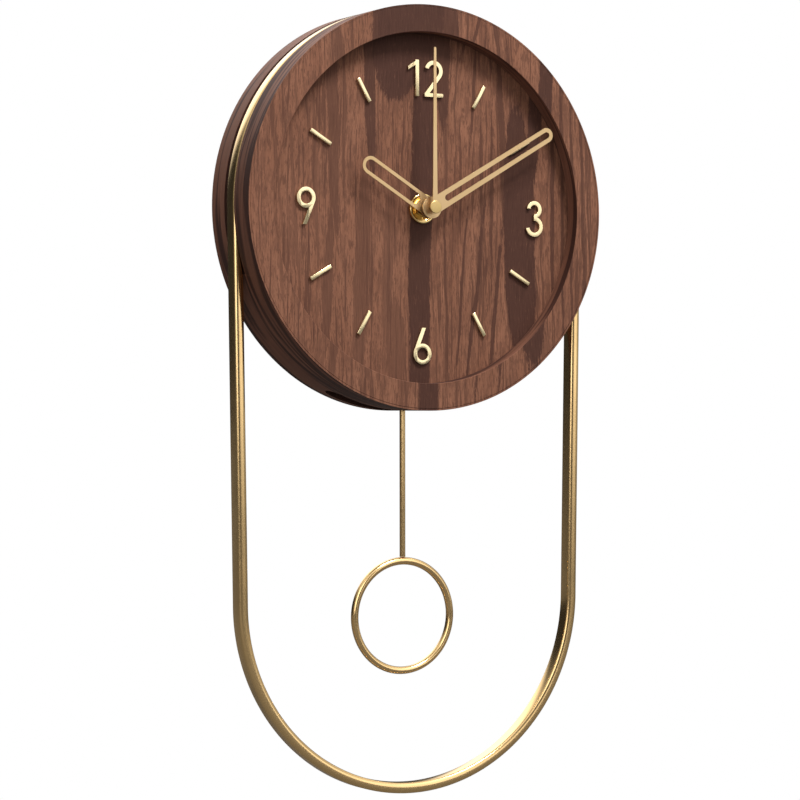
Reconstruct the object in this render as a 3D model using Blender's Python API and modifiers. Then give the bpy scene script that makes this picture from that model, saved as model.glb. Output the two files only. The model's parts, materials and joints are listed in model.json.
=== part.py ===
"""Pendulum wall clock: a round wooden drum in a hanging brass loop, with a quartz movement.

Metres, +Z up, the dial faces -Y.  The origin is the hanging point: the rear face of the
keyhole plate, on the clock's centre line, in the plane of the wall.  Distances called depth
are measured back from the front rim of the drum.
"""
import math

import bmesh
import bpy

MM = 0.001

# ---- driving dimensions ------------------------------------------------------------------
CASE_R = 145.0 * MM            # outer radius of the drum
CASE_DEPTH = 57.5 * MM         # front rim to wall
WALL = 12.0 * MM               # thickness of the drum wall
HANG_INSET = 29.0 * MM         # drum's top down to the hanging point
GAP = 0.3 * MM                 # between pieces that touch
EDGE = 0.6 * MM                # small chamfer on wooden edges
LIP = 1.3 * MM                 # veneer lip round the front board

RING_W = 19.5 * MM             # width of the front board's frame
RECESS = 13.0 * MM             # front rim to dial face
DIAL_T = 3.0 * MM              # dial panel thickness

BAR_W = 7.6 * MM               # brass bar, across its flat front
BAR_T = 11.0 * MM              # brass bar, front to back
BAR_DEPTH = 29.0 * MM          # depth of the bar's middle
BAR_ROUND = 1.3 * MM
LOOP_INSET = 0.1 * MM          # drum's surface to the bar's outer face
LOOP_TAPER = 4.3 * MM          # top bend's radius less the bottom bend's
LOOP_DROP = 280.2 * MM         # top bend centre to bottom bend centre
GROOVE_AHEAD = 0.9 * MM        # clearances of the groove round the bar
GROOVE_BEHIND = 3.3 * MM

SLOT_HALF = 63.0 * MM          # pendulum slot in the bottom of the drum
SLOT_AHEAD = 10.3 * MM         # slot's edges from the plane the pendulum swings in
SLOT_BEHIND = 7.7 * MM

RABBET_WALL = 6.0 * MM         # wood left round the back panel
RABBET = 5.1 * MM              # depth of the back panel's rabbet
BACK_T = 3.0 * MM
WINDOW_SIDE = 14.0 * MM        # room round the movement in the back panel's opening
WINDOW_BELOW = 38.0 * MM
WINDOW_ABOVE = 13.7 * MM
BLOCK_W = 60.0 * MM            # wooden block behind the hanger plate
BLOCK_BELOW = 16.0 * MM        # its edges from the hanging point
BLOCK_ABOVE = 7.0 * MM
BLOCK_T = 14.4 * MM

PLATE_W = 50.0 * MM            # keyhole hanger plate
PLATE_H = 18.0 * MM
PLATE_T = 1.5 * MM
ORIGIN_ABOVE_SLOT = 2.5 * MM   # hanging point to the top of the keyhole's slot
KEY_SLOT_R = 2.0 * MM
KEY_HOLE_R = 4.6 * MM
KEY_DROP = 6.0 * MM            # between the centres of the two circles
NAIL_POCKET_R = 8.0 * MM

SCREW_R = 1.45 * MM
SCREW_HEAD_R = 3.0 * MM
SCREW_HEAD_T = 1.6 * MM
SCREW_CLEAR = 0.15 * MM
BAR_SCREW_ANGLES = (0, 90, 180)
BACK_SCREW_ANGLES = (45, 135, 225, 315)
BACK_SCREW_BITE = 10.0 * MM

MARK_INSET = 30.2 * MM         # board's opening in to the centre of the hour marks
MARK_LEN = 19.0 * MM
MARK_W = 3.0 * MM
MARK_T = 2.0 * MM
NUMERAL_H = 26.2 * MM
STROKE = 2.9 * MM
NUMERAL_T = 1.7 * MM

MINUTE_ANGLE = 60.0            # hands at rest, degrees clockwise from twelve
HOUR_ANGLE = 300.8
SECOND_ANGLE = 0.0
HOUR_LEN = 62.0 * MM
HOUR_W = 13.0 * MM
HOUR_SLOT_W = 8.3 * MM
HOUR_COLLAR = 3.0 * MM         # blade's middle back to the end of its collar
HOUR_CLEAR = 1.5 * MM          # end of the collar to the threaded tube
HOUR_HUB_R = 7.4 * MM
MINUTE_SHORT = 8.0 * MM        # tip of the hand to the board's opening
MINUTE_W = 11.8 * MM
MINUTE_TIP_W = 10.6 * MM
MINUTE_SLOT_W = 4.6 * MM
MINUTE_AHEAD = 4.2 * MM        # in front of the hour hand
MINUTE_HUB_R = 7.8 * MM
SECOND_SHORT = 11.5 * MM
SECOND_W = 3.9 * MM
SECOND_TIP_W = 1.9 * MM
SECOND_AHEAD = 4.4 * MM        # in front of the minute hand
BLADE_T = 0.8 * MM
CAP_R = 4.6 * MM
CAP_T = 1.2 * MM
HUB_INSET = 1.5 * MM           # hub rim to where a blade's slot may start

BUSHING_R = 4.0 * MM           # threaded tube that clamps the movement to the dial
WASHER_R = 10.8 * MM
WASHER_T = 3.3 * MM
NUT_FLAT = 11.0 * MM
NUT_T = 2.2 * MM
RUBBER_T = 1.0 * MM
RUBBER_R = 9.0 * MM

BODY_W = 56.0 * MM             # clock movement housing
BODY_H = 56.0 * MM
BODY_T = 16.4 * MM
SKIN = 1.4 * MM                # moulded wall

SECOND_ARBOR_R = 0.5 * MM
MINUTE_BORE_R = 0.8 * MM
MINUTE_PIPE_R = 1.6 * MM
HOUR_BORE_R = 1.8 * MM
HOUR_PIPE_R = 2.6 * MM
BUSHING_BORE_R = 2.85 * MM
WHEEL_T = 0.8 * MM
RUN = 0.2 * MM                 # running clearance of pivots

BATTERY_R = 7.1 * MM
BATTERY_LEN = 50.0 * MM

DRIVE_W = 38.0 * MM            # pendulum drive housing, above the clock housing
DRIVE_H = 32.0 * MM
DRIVE_PROUD = 2.0 * MM         # thicker than the clock housing
PIVOT_RISE = 21.7 * MM         # pendulum's pivot above the drive housing's lower side
PIVOT_R = 1.5 * MM
ARM_BEHIND = 4.3 * MM          # drive housing's rear face to the middle of the arm
ARM_W = 5.0 * MM
ARM_T = 2.4 * MM
ARM_BELOW = 6.0 * MM           # clock housing's lower side to the end of the flat arm
ROD_R = 2.1 * MM
ROD_BELOW = 10.0 * MM          # end of the flat arm to the top of the rod
BOB_Z = -293.8 * MM
BOB_R = 39.6 * MM              # ring bob, centre line
BOB_TUBE_R = 2.87 * MM

RING_SIDES = 72                # facets round the drum
SMALL_SIDES = 24

# ---- places that follow from the sizes ---------------------------------------------------
HANG_RISE = CASE_R - HANG_INSET
OPENING_R = CASE_R - RING_W
LOOP_TOP_R = CASE_R - LOOP_INSET - BAR_W / 2
LOOP_BOTTOM_R = LOOP_TOP_R - LOOP_TAPER
GROOVE_FRONT = BAR_DEPTH - BAR_T / 2 - GROOVE_AHEAD
GROOVE_REAR = BAR_DEPTH + BAR_T / 2 + GROOVE_BEHIND
BACK_R = CASE_R - RABBET_WALL
BACK_DEPTH = CASE_DEPTH - RABBET
BLOCK_LOW = HANG_RISE - BLOCK_BELOW
BLOCK_HIGH = HANG_RISE + BLOCK_ABOVE
BLOCK_FRONT = BACK_DEPTH - BLOCK_T
MARK_R = OPENING_R - MARK_INSET
MINUTE_LEN = OPENING_R - MINUTE_SHORT
SECOND_LEN = OPENING_R - SECOND_SHORT

BUSHING_FRONT = RECESS - WASHER_T - NUT_T - MM
HOUR_DEPTH = BUSHING_FRONT - HOUR_CLEAR - HOUR_COLLAR    # depth of each blade's middle
MINUTE_DEPTH = HOUR_DEPTH - MINUTE_AHEAD
SECOND_DEPTH = MINUTE_DEPTH - SECOND_AHEAD

BODY_FRONT = RECESS + DIAL_T + RUBBER_T + 2 * GAP
BODY_REAR = BODY_FRONT + BODY_T
INSIDE_FRONT = BODY_FRONT + SKIN
INSIDE_REAR = BODY_REAR - SKIN
BATTERY_Z = -BODY_H / 2 + SKIN + 0.1 * MM + BATTERY_R
DRIVE_LOW = BODY_H / 2 + GAP
DRIVE_REAR = BODY_REAR + DRIVE_PROUD
PIVOT_Z = DRIVE_LOW + PIVOT_RISE
PENDULUM_DEPTH = DRIVE_REAR + ARM_BEHIND
ARM_END = -BODY_H / 2 - ARM_BELOW
ROD_TOP = ARM_END - ROD_BELOW
SLOT_FRONT = PENDULUM_DEPTH - SLOT_AHEAD
SLOT_REAR = PENDULUM_DEPTH + SLOT_BEHIND
WINDOW_W = BODY_W + 2 * WINDOW_SIDE
WINDOW_LOW = -BODY_H / 2 - WINDOW_BELOW
WINDOW_HIGH = DRIVE_LOW + DRIVE_H + WINDOW_ABOVE

# ---- materials ---------------------------------------------------------------------------
FINISHES = {
    "walnut": ((0.26, 0.105, 0.062), 0.45, 0.0),
    "polished_brass": ((0.83, 0.62, 0.29), 0.18, 1.0),
    "satin_gold": ((0.80, 0.60, 0.34), 0.4, 1.0),
    "raw_board": ((0.42, 0.30, 0.19), 0.8, 0.0),
    "black_plastic": ((0.02, 0.02, 0.022), 0.45, 0.0),
    "white_plastic": ((0.75, 0.75, 0.72), 0.5, 0.0),
    "zinc_steel": ((0.6, 0.6, 0.6), 0.35, 1.0),
    "black_rubber": ((0.015, 0.015, 0.015), 0.8, 0.0),
    "copper_wire": ((0.7, 0.32, 0.16), 0.35, 1.0),
    "green_board": ((0.03, 0.22, 0.08), 0.5, 0.0),
    "battery_sleeve": ((0.10, 0.12, 0.16), 0.35, 0.0),
    "brass_wheel": ((0.78, 0.57, 0.25), 0.3, 1.0),
}


def depth(d):
    """World Y of a plane the given distance behind the front rim."""
    return d - CASE_DEPTH


def height(z):
    """World Z of a point the given distance above the dial's centre."""
    return z - HANG_RISE


def start_scene():
    for old in list(bpy.data.objects):
        bpy.data.objects.remove(old, do_unlink=True)
    groups = []
    for label in ("pendulum_wall_clock", "cutters"):
        group = bpy.data.collections.new(label)
        bpy.context.scene.collection.children.link(group)
        groups.append(group)
    return groups


PARTS, CUTTERS = start_scene()


def finish(name, kind):
    colour, rough, metal = FINISHES[kind]
    mat = bpy.data.materials.new(name + "_" + kind)
    mat.use_nodes = True
    shader = mat.node_tree.nodes["Principled BSDF"]
    shader.inputs["Base Color"].default_value = (*colour, 1.0)
    shader.inputs["Roughness"].default_value = rough
    shader.inputs["Metallic"].default_value = metal
    return mat


def place(obj, name, kind=None):
    """Name an object, and put it with the parts, or with the cutters if it has no finish."""
    for group in list(obj.users_collection):
        group.objects.unlink(obj)
    obj.name = name
    obj.data.name = name
    if kind:
        PARTS.objects.link(obj)
        obj.data.materials.clear()
        obj.data.materials.append(finish(name, kind))
        obj.data.shade_smooth()
        obj.data.set_sharp_from_angle(angle=math.radians(35))
    else:
        CUTTERS.objects.link(obj)
        obj.hide_render = True
        obj.display_type = "WIRE"
    return obj


def box(name, x, d, z, kind=None):
    """A box between pairs of x, depth and height limits."""
    middle = [(x[0] + x[1]) / 2, depth((d[0] + d[1]) / 2), height((z[0] + z[1]) / 2)]
    bpy.ops.mesh.primitive_cube_add(size=1.0, location=middle)
    obj = bpy.context.object
    for corner in obj.data.vertices:
        corner.co.x *= x[1] - x[0]
        corner.co.y *= d[1] - d[0]
        corner.co.z *= z[1] - z[0]
    return place(obj, name, kind)


def rod(name, radius, d, x=0.0, z=0.0, kind=None, sides=SMALL_SIDES):
    """A cylinder along the depth axis."""
    bpy.ops.mesh.primitive_cylinder_add(
        vertices=sides, radius=radius, depth=d[1] - d[0],
        location=(x, depth((d[0] + d[1]) / 2), height(z)), rotation=(math.pi / 2, 0, 0))
    return place(bpy.context.object, name, kind)


def turned(name, profile, kind=None, x=0.0, z=0.0, sides=RING_SIDES):
    """A turned piece: (radius, depth) points from the rear of the outer side to the front."""
    mesh = bpy.data.meshes.new(name)
    count = len(profile)
    closed = all(r > 0 for r, _ in profile)
    edges = [(i, i + 1) for i in range(count - 1)] + ([(count - 1, 0)] if closed else [])
    mesh.from_pydata([(r, 0, d) for r, d in profile], edges, [])
    obj = bpy.data.objects.new(name, mesh)
    obj.location = (x, depth(0.0), height(z))
    obj.rotation_euler = (-math.pi / 2, 0, 0)
    PARTS.objects.link(obj)
    screw = obj.modifiers.new("turn", "SCREW")
    screw.axis = "Z"
    screw.steps = sides
    screw.render_steps = sides
    screw.use_merge_vertices = True
    screw.merge_threshold = 0.00001
    screw.use_smooth_shade = True
    return place(obj, name, kind)


def flat(name, loops, d, kind=None, x=0.0, z=0.0):
    """A flat piece from outlines of (x, z) points round its own axis, between two depths."""
    curve = bpy.data.curves.new(name, "CURVE")
    curve.dimensions = "2D"
    curve.fill_mode = "BOTH"
    curve.extrude = (d[1] - d[0]) / 2
    for loop in loops:
        spline = curve.splines.new("POLY")
        spline.points.add(len(loop) - 1)
        for point, (px, pz) in zip(spline.points, loop):
            point.co = (px, pz, 0, 1)
        spline.use_cyclic_u = True
    drawn = bpy.data.objects.new(name + "_outline", curve)
    bpy.context.scene.collection.objects.link(drawn)
    drawn.location = (x, depth((d[0] + d[1]) / 2), height(z))
    drawn.rotation_euler = (math.pi / 2, 0, 0)
    bpy.context.view_layer.update()
    graph = bpy.context.evaluated_depsgraph_get()
    mesh = bpy.data.meshes.new_from_object(drawn.evaluated_get(graph))
    work = bmesh.new()
    work.from_mesh(mesh)
    bmesh.ops.remove_doubles(work, verts=work.verts, dist=0.000001)
    bmesh.ops.recalc_face_normals(work, faces=work.faces)
    work.to_mesh(mesh)
    work.free()
    obj = bpy.data.objects.new(name, mesh)
    PARTS.objects.link(obj)
    obj.matrix_world = drawn.matrix_world
    bpy.data.objects.remove(drawn, do_unlink=True)
    bpy.data.curves.remove(curve)
    return place(obj, name, kind)


def boolean(obj, other, operation):
    step = obj.modifiers.new(operation.lower() + "_" + other.name, "BOOLEAN")
    step.operation = operation
    step.object = other
    step.solver = "EXACT"
    return obj


def cut(obj, *others):
    for other in others:
        boolean(obj, other, "DIFFERENCE")
    return obj


def join(obj, *others):
    for other in others:
        boolean(obj, other, "UNION")
    return obj


def soften(obj, width, angle=40):
    """Chamfer the sharp edges of a piece."""
    step = obj.modifiers.new("edge", "BEVEL")
    step.width = width
    step.segments = 1
    step.limit_method = "ANGLE"
    step.angle_limit = math.radians(angle)
    return obj


# ---- outlines, in (x, z) -----------------------------------------------------------------
def arc(cx, cz, radius, start, end, steps):
    """Points along an arc; angles in degrees, anticlockwise from +X."""
    points = []
    for i in range(steps + 1):
        a = math.radians(start + (end - start) * i / steps)
        points.append((cx + radius * math.cos(a), cz + radius * math.sin(a)))
    return points


def circle(radius, sides=RING_SIDES, cx=0.0, cz=0.0):
    return arc(cx, cz, radius, 0, 360 - 360 / sides, sides - 1)


def rectangle(x0, x1, z0, z1):
    return [(x0, z0), (x1, z0), (x1, z1), (x0, z1)]


def turn(points, degrees_clockwise):
    """Turn an outline that points to twelve, clockwise as the dial is seen."""
    a = math.radians(degrees_clockwise)
    return [(px * math.cos(a) + pz * math.sin(a), -px * math.sin(a) + pz * math.cos(a))
            for px, pz in points]


def loop_outline(offset, sides=RING_SIDES):
    """The hanging loop's path, moved outwards: two unequal bends and their common tangents."""
    lean = math.degrees(math.asin((LOOP_TOP_R - LOOP_BOTTOM_R) / LOOP_DROP))
    top = arc(0, 0, LOOP_TOP_R + offset, -lean, 180 + lean, sides // 2)
    bottom = arc(0, -LOOP_DROP, LOOP_BOTTOM_R + offset, 180 + lean, 360 - lean, sides // 2)
    return top + bottom


def blade(length, width, tip_width, hub_r, steps=8):
    """A hand pointing to twelve, with a round hub and a round tip."""
    half = width / 2
    tip = tip_width / 2
    meet = math.degrees(math.acos(half / hub_r))
    return (arc(0, 0, hub_r, 180 - meet, 360 + meet, 3 * steps)
            + arc(0, length - tip, tip, 0, 180, steps))


def slot(low, high, width, steps=6):
    return (arc(0, high - width / 2, width / 2, 0, 180, steps)
            + arc(0, low + width / 2, width / 2, 180, 360, steps))


def stroke(path, width):
    """Outline of an open line of constant width with square ends and mitred corners."""
    left, right = [], []
    for i, (px, pz) in enumerate(path):
        before = path[max(i - 1, 0)]
        after = path[min(i + 1, len(path) - 1)]
        ways = []
        for (ax, az), (bx, bz) in ((before, (px, pz)), ((px, pz), after)):
            size = math.hypot(bx - ax, bz - az)
            if size > 0:
                ways.append(((bx - ax) / size, (bz - az) / size))
        nx = -sum(w[1] for w in ways)
        nz = sum(w[0] for w in ways)
        size = math.hypot(nx, nz)
        nx, nz = nx / size, nz / size
        reach = width / 2 / (nz * ways[0][0] - nx * ways[0][1])
        left.append((px + nx * reach, pz + nz * reach))
        right.append((px - nx * reach, pz - nz * reach))
    return left + right[::-1]


def gear(teeth, module, phase):
    """A wheel's outline, with the middle of a tooth at the phase angle (degrees from +X)."""
    pitch = 360.0 / teeth
    root_r = module * (teeth / 2 - 1.15)
    tip_r = module * (teeth / 2 + 0.75)
    points = []
    for i in range(teeth):
        middle = phase + i * pitch
        for radius, share in ((root_r, -0.29), (tip_r, -0.09), (tip_r, 0.09), (root_r, 0.29)):
            a = math.radians(middle + share * pitch)
            points.append((radius * math.cos(a), radius * math.sin(a)))
    return points


# ---- wooden case -------------------------------------------------------------------------
WALL_INNER_R = CASE_R - WALL
SHOULDER = RECESS + DIAL_T + GAP          # depth of the shoulder behind the dial panel
BOARD_R = CASE_R - LIP - GAP
SCREW_RING_R = (WALL_INNER_R + BACK_R) / 2


def make_case_wall():
    wall = turned("case_wall", [
        (CASE_R - EDGE, CASE_DEPTH), (CASE_R, CASE_DEPTH - EDGE), (CASE_R, EDGE),
        (CASE_R - EDGE, 0), (CASE_R - LIP, 0), (CASE_R - LIP, SHOULDER),
        (WALL_INNER_R, SHOULDER), (WALL_INNER_R, BACK_DEPTH), (BACK_R, BACK_DEPTH),
        (BACK_R, CASE_DEPTH)], "walnut")
    margin = 20 * MM
    edge_x = CASE_R + margin
    low = -LOOP_DROP - LOOP_BOTTOM_R - margin
    around = rectangle(-edge_x, edge_x, low, edge_x)
    groove = flat("groove_cutter", [around, loop_outline(-BAR_W / 2 - GAP)],
                  (GROOVE_FRONT, GROOVE_REAR))
    slot_r = (SLOT_REAR - SLOT_FRONT) / 2
    bpy.ops.mesh.primitive_cube_add(size=1.0, location=(
        0, depth((SLOT_FRONT + SLOT_REAR) / 2), height(-CASE_R)))
    opening = bpy.context.object
    for corner in opening.data.vertices:
        corner.co.x *= 2 * SLOT_HALF
        corner.co.y *= SLOT_REAR - SLOT_FRONT
        corner.co.z *= 4 * WALL + 2 * (CASE_R - math.sqrt(CASE_R ** 2 - SLOT_HALF ** 2))
    place(opening, "slot_cutter")
    corner_cut = opening.modifiers.new("ends", "BEVEL")
    corner_cut.width = slot_r * 0.98
    corner_cut.segments = 4
    corner_cut.limit_method = "WEIGHT"
    weights = opening.data.attributes.new("bevel_weight_edge", "FLOAT", "EDGE")
    for edge in opening.data.edges:
        a, b = (opening.data.vertices[i].co for i in edge.vertices)
        upright = abs(a.x - b.x) < MM and abs(a.y - b.y) < MM
        weights.data[edge.index].value = 1.0 if upright else 0.0
    cut(wall, groove, opening)
    for angle in BAR_SCREW_ANGLES:
        cut(wall, radial_rod("bar_screw_hole_%d" % angle, SCREW_R + SCREW_CLEAR,
                             (WALL_INNER_R - 3 * MM, CASE_R - BAR_W), angle))
    for angle in BACK_SCREW_ANGLES:
        x, z = polar(SCREW_RING_R, angle)
        cut(wall, rod("wall_screw_hole_%d" % angle, SCREW_R + SCREW_CLEAR,
                      (BACK_DEPTH - BACK_SCREW_BITE - 0.5 * MM, BACK_DEPTH + MM), x, z,
                      sides=12))
    return wall


def polar(radius, degrees):
    a = math.radians(degrees)
    return radius * math.cos(a), radius * math.sin(a)


def radial_rod(name, radius, span, angle, kind=None, sides=12):
    """A cylinder that points out from the drum's axis, at the depth of the brass bar."""
    x, z = polar((span[0] + span[1]) / 2, angle)
    bpy.ops.mesh.primitive_cylinder_add(
        vertices=sides, radius=radius, depth=span[1] - span[0],
        location=(x, depth(BAR_DEPTH), height(z)), rotation=(0, math.radians(90 - angle), 0))
    return place(bpy.context.object, name, kind)


def make_front_board():
    flat("front_ring", [circle(BOARD_R), circle(OPENING_R)], (0, RECESS - GAP), "walnut")
    flat("dial_panel", [circle(BOARD_R), circle(BUSHING_R + GAP, SMALL_SIDES)],
         (RECESS, RECESS + DIAL_T), "walnut")


def keyhole(grow):
    """Keyhole outline round the centre of its slot's top circle."""
    lean = math.degrees(math.acos((KEY_SLOT_R + grow) / (KEY_HOLE_R + grow)))
    return (arc(0, 0, KEY_SLOT_R + grow, 0, 180, 6)
            + arc(0, -KEY_DROP, KEY_HOLE_R + grow, 180 - lean, 360 + lean, 14))


KEY_Z = HANG_RISE - ORIGIN_ABOVE_SLOT - KEY_SLOT_R
PLATE_Z = KEY_Z - KEY_DROP / 2 + 1.5 * MM
PLATE_FRONT = CASE_DEPTH - PLATE_T
PLATE_SCREW_X = PLATE_W / 2 - 6 * MM
POCKET_Z = KEY_Z - KEY_DROP / 2


def make_back():
    panel = flat("back_panel", [
        circle(BACK_R - GAP), rectangle(-WINDOW_W / 2, WINDOW_W / 2, WINDOW_LOW, WINDOW_HIGH),
        circle(NAIL_POCKET_R, SMALL_SIDES, 0, POCKET_Z)],
        (BACK_DEPTH + GAP, BACK_DEPTH + GAP + BACK_T), "raw_board")
    block = box("hanger_block", (-BLOCK_W / 2, BLOCK_W / 2), (BLOCK_FRONT, BACK_DEPTH),
                (BLOCK_LOW, BLOCK_HIGH), "raw_board")
    cut(block, rod("nail_pocket", NAIL_POCKET_R, (BACK_DEPTH - 6 * MM, BACK_DEPTH + MM),
                   0, POCKET_Z))
    plate_outline = rectangle(-PLATE_W / 2, PLATE_W / 2, -PLATE_H / 2, PLATE_H / 2)
    hole = [(px, pz + KEY_Z - PLATE_Z) for px, pz in keyhole(0)]
    plate = flat("hanger_plate", [plate_outline, hole], (PLATE_FRONT, CASE_DEPTH),
                 "zinc_steel", z=PLATE_Z)
    for side, x in (("left", -PLATE_SCREW_X), ("right", PLATE_SCREW_X)):
        cone = [(SCREW_HEAD_R + GAP, CASE_DEPTH + 0.2 * MM), (SCREW_R + GAP, PLATE_FRONT - 0.2 * MM)]
        cut(plate, turned("plate_sink_" + side, [(0, cone[0][1]), cone[0], cone[1],
                                                 (0, cone[1][1])], None, x, PLATE_Z, SMALL_SIDES))
        for piece, span in ((panel, (BACK_DEPTH, BACK_DEPTH + BACK_T + MM)),
                            (block, (BLOCK_FRONT + 3 * MM, BACK_DEPTH + MM))):
            cut(piece, rod("plate_hole_" + piece.name + side, SCREW_R + SCREW_CLEAR, span,
                           x, PLATE_Z, sides=12))
        turned("hanger_screw_" + side, [
            (0, CASE_DEPTH - 0.2 * MM), (SCREW_HEAD_R - GAP, CASE_DEPTH - 0.2 * MM),
            (SCREW_R, PLATE_FRONT), (SCREW_R, BLOCK_FRONT + 5 * MM),
            (0, BLOCK_FRONT + 4 * MM)], "zinc_steel", x, PLATE_Z, 12)
    for angle in BACK_SCREW_ANGLES:
        x, z = polar(SCREW_RING_R, angle)
        seat = BACK_DEPTH + BACK_T + 2 * GAP
        cut(panel, rod("panel_screw_hole_%d" % angle, SCREW_R + SCREW_CLEAR,
                       (BACK_DEPTH, seat + MM), x, z, sides=12))
        turned("back_screw_%d" % angle, [
            (0, seat + 1.2 * MM), (SCREW_HEAD_R - 0.8 * MM, seat + 1.2 * MM),
            (SCREW_HEAD_R - 0.4 * MM, seat), (SCREW_R, seat),
            (SCREW_R, BACK_DEPTH - BACK_SCREW_BITE + MM), (0, BACK_DEPTH - BACK_SCREW_BITE)],
            "zinc_steel", x, z, 12)


# ---- brass loop --------------------------------------------------------------------------
def make_loop():
    bar = flat("frame_bar", [loop_outline(BAR_W / 2), loop_outline(-BAR_W / 2)],
               (BAR_DEPTH - BAR_T / 2, BAR_DEPTH + BAR_T / 2), "polished_brass")
    soften(bar, BAR_ROUND)
    grip = LOOP_TOP_R + 0.5 * MM
    for angle in BAR_SCREW_ANGLES:
        cut(bar, radial_rod("bar_tapping_%d" % angle, SCREW_R + SCREW_CLEAR,
                            (WALL_INNER_R, grip + GAP), angle))
        screw = radial_rod("bar_screw_%d" % angle, SCREW_R,
                           (WALL_INNER_R - SCREW_HEAD_T - GAP - MM / 2, grip), angle,
                           "zinc_steel")
        head = radial_rod("bar_screw_head_%d" % angle, SCREW_HEAD_R,
                          (WALL_INNER_R - SCREW_HEAD_T - GAP - MM, WALL_INNER_R - GAP - MM / 2),
                          angle)
        join(screw, head)


# ---- dial marks --------------------------------------------------------------------------
MARK_SPAN = (RECESS - GAP - MARK_T, RECESS - GAP)
NUMERAL_SPAN = (RECESS - GAP - NUMERAL_T, RECESS - GAP)


def make_batons():
    for hour in (1, 2, 4, 5, 7, 8, 10, 11):
        outline = rectangle(-MARK_W / 2, MARK_W / 2, MARK_R - MARK_LEN / 2, MARK_R + MARK_LEN / 2)
        flat("baton_%02d" % hour, [turn(outline, 30 * hour)], MARK_SPAN, "satin_gold")


def six_loops():
    """Outline and eye of a six: a ring with a straight leaning tail."""
    outer = 7.4 * MM
    inner = outer - STROKE
    low = -NUMERAL_H / 2 + outer
    top = NUMERAL_H / 2
    tail_x = -0.3 * MM
    reach = math.hypot(tail_x, top - low)
    lean = math.degrees(math.atan2(top - low, tail_x)) + math.degrees(math.acos(outer / reach))
    along = math.radians(lean - 90)
    meet = math.degrees(math.acos(inner / outer))
    tip = (tail_x + STROKE / math.cos(along - math.pi / 2), top)
    outline = arc(0, low, outer, lean, lean - meet + 360, 28) + [tip, (tail_x, top)]
    return [outline, circle(inner, 20, 0, low)]


def make_numerals():
    half = NUMERAL_H / 2
    thick = STROKE / 2
    one = [(-thick, -half), (thick, -half), (thick, half), (-0.4 * MM, half),
           (-7.4 * MM, half - 4.4 * MM), (-7.4 * MM, half - 7.4 * MM), (-thick, half - 3.6 * MM)]
    flat("numeral_12_one", [one], NUMERAL_SPAN, "satin_gold", -4.2 * MM, MARK_R - 1.7 * MM)
    bend = 7.4 * MM - thick
    two = (arc(0, half - thick - bend, bend, 165, -38, 14)
           + [(-bend + 0.6 * MM, -half + thick), (bend + thick, -half + thick)])
    flat("numeral_12_two", [stroke(two, STROKE)], NUMERAL_SPAN, "satin_gold",
         9.9 * MM, MARK_R - 1.7 * MM)
    flat("numeral_06", six_loops(), NUMERAL_SPAN, "satin_gold", 0, -MARK_R - 3.3 * MM)
    nine = [[(-px, -pz) for px, pz in loop] for loop in six_loops()]
    flat("numeral_09", nine, NUMERAL_SPAN, "satin_gold", -MARK_R + MM, -1.0 * MM)
    upper = 6.3 * MM - thick
    lower = 7.3 * MM - thick
    z_up = half - thick - upper
    z_low = -half + thick + lower
    three = flat("numeral_03", [stroke(arc(0, z_up, upper, 175, -95, 14), STROKE)],
                 NUMERAL_SPAN, "satin_gold", MARK_R, -4.2 * MM)
    foot = flat("three_lower", [stroke(arc(0, z_low, lower, 95, -170, 16), STROKE)],
                NUMERAL_SPAN, None, MARK_R, -4.2 * MM)
    join(three, foot)


# ---- hands -------------------------------------------------------------------------------
def blade_span(middle):
    return middle - BLADE_T / 2, middle + BLADE_T / 2


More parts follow.
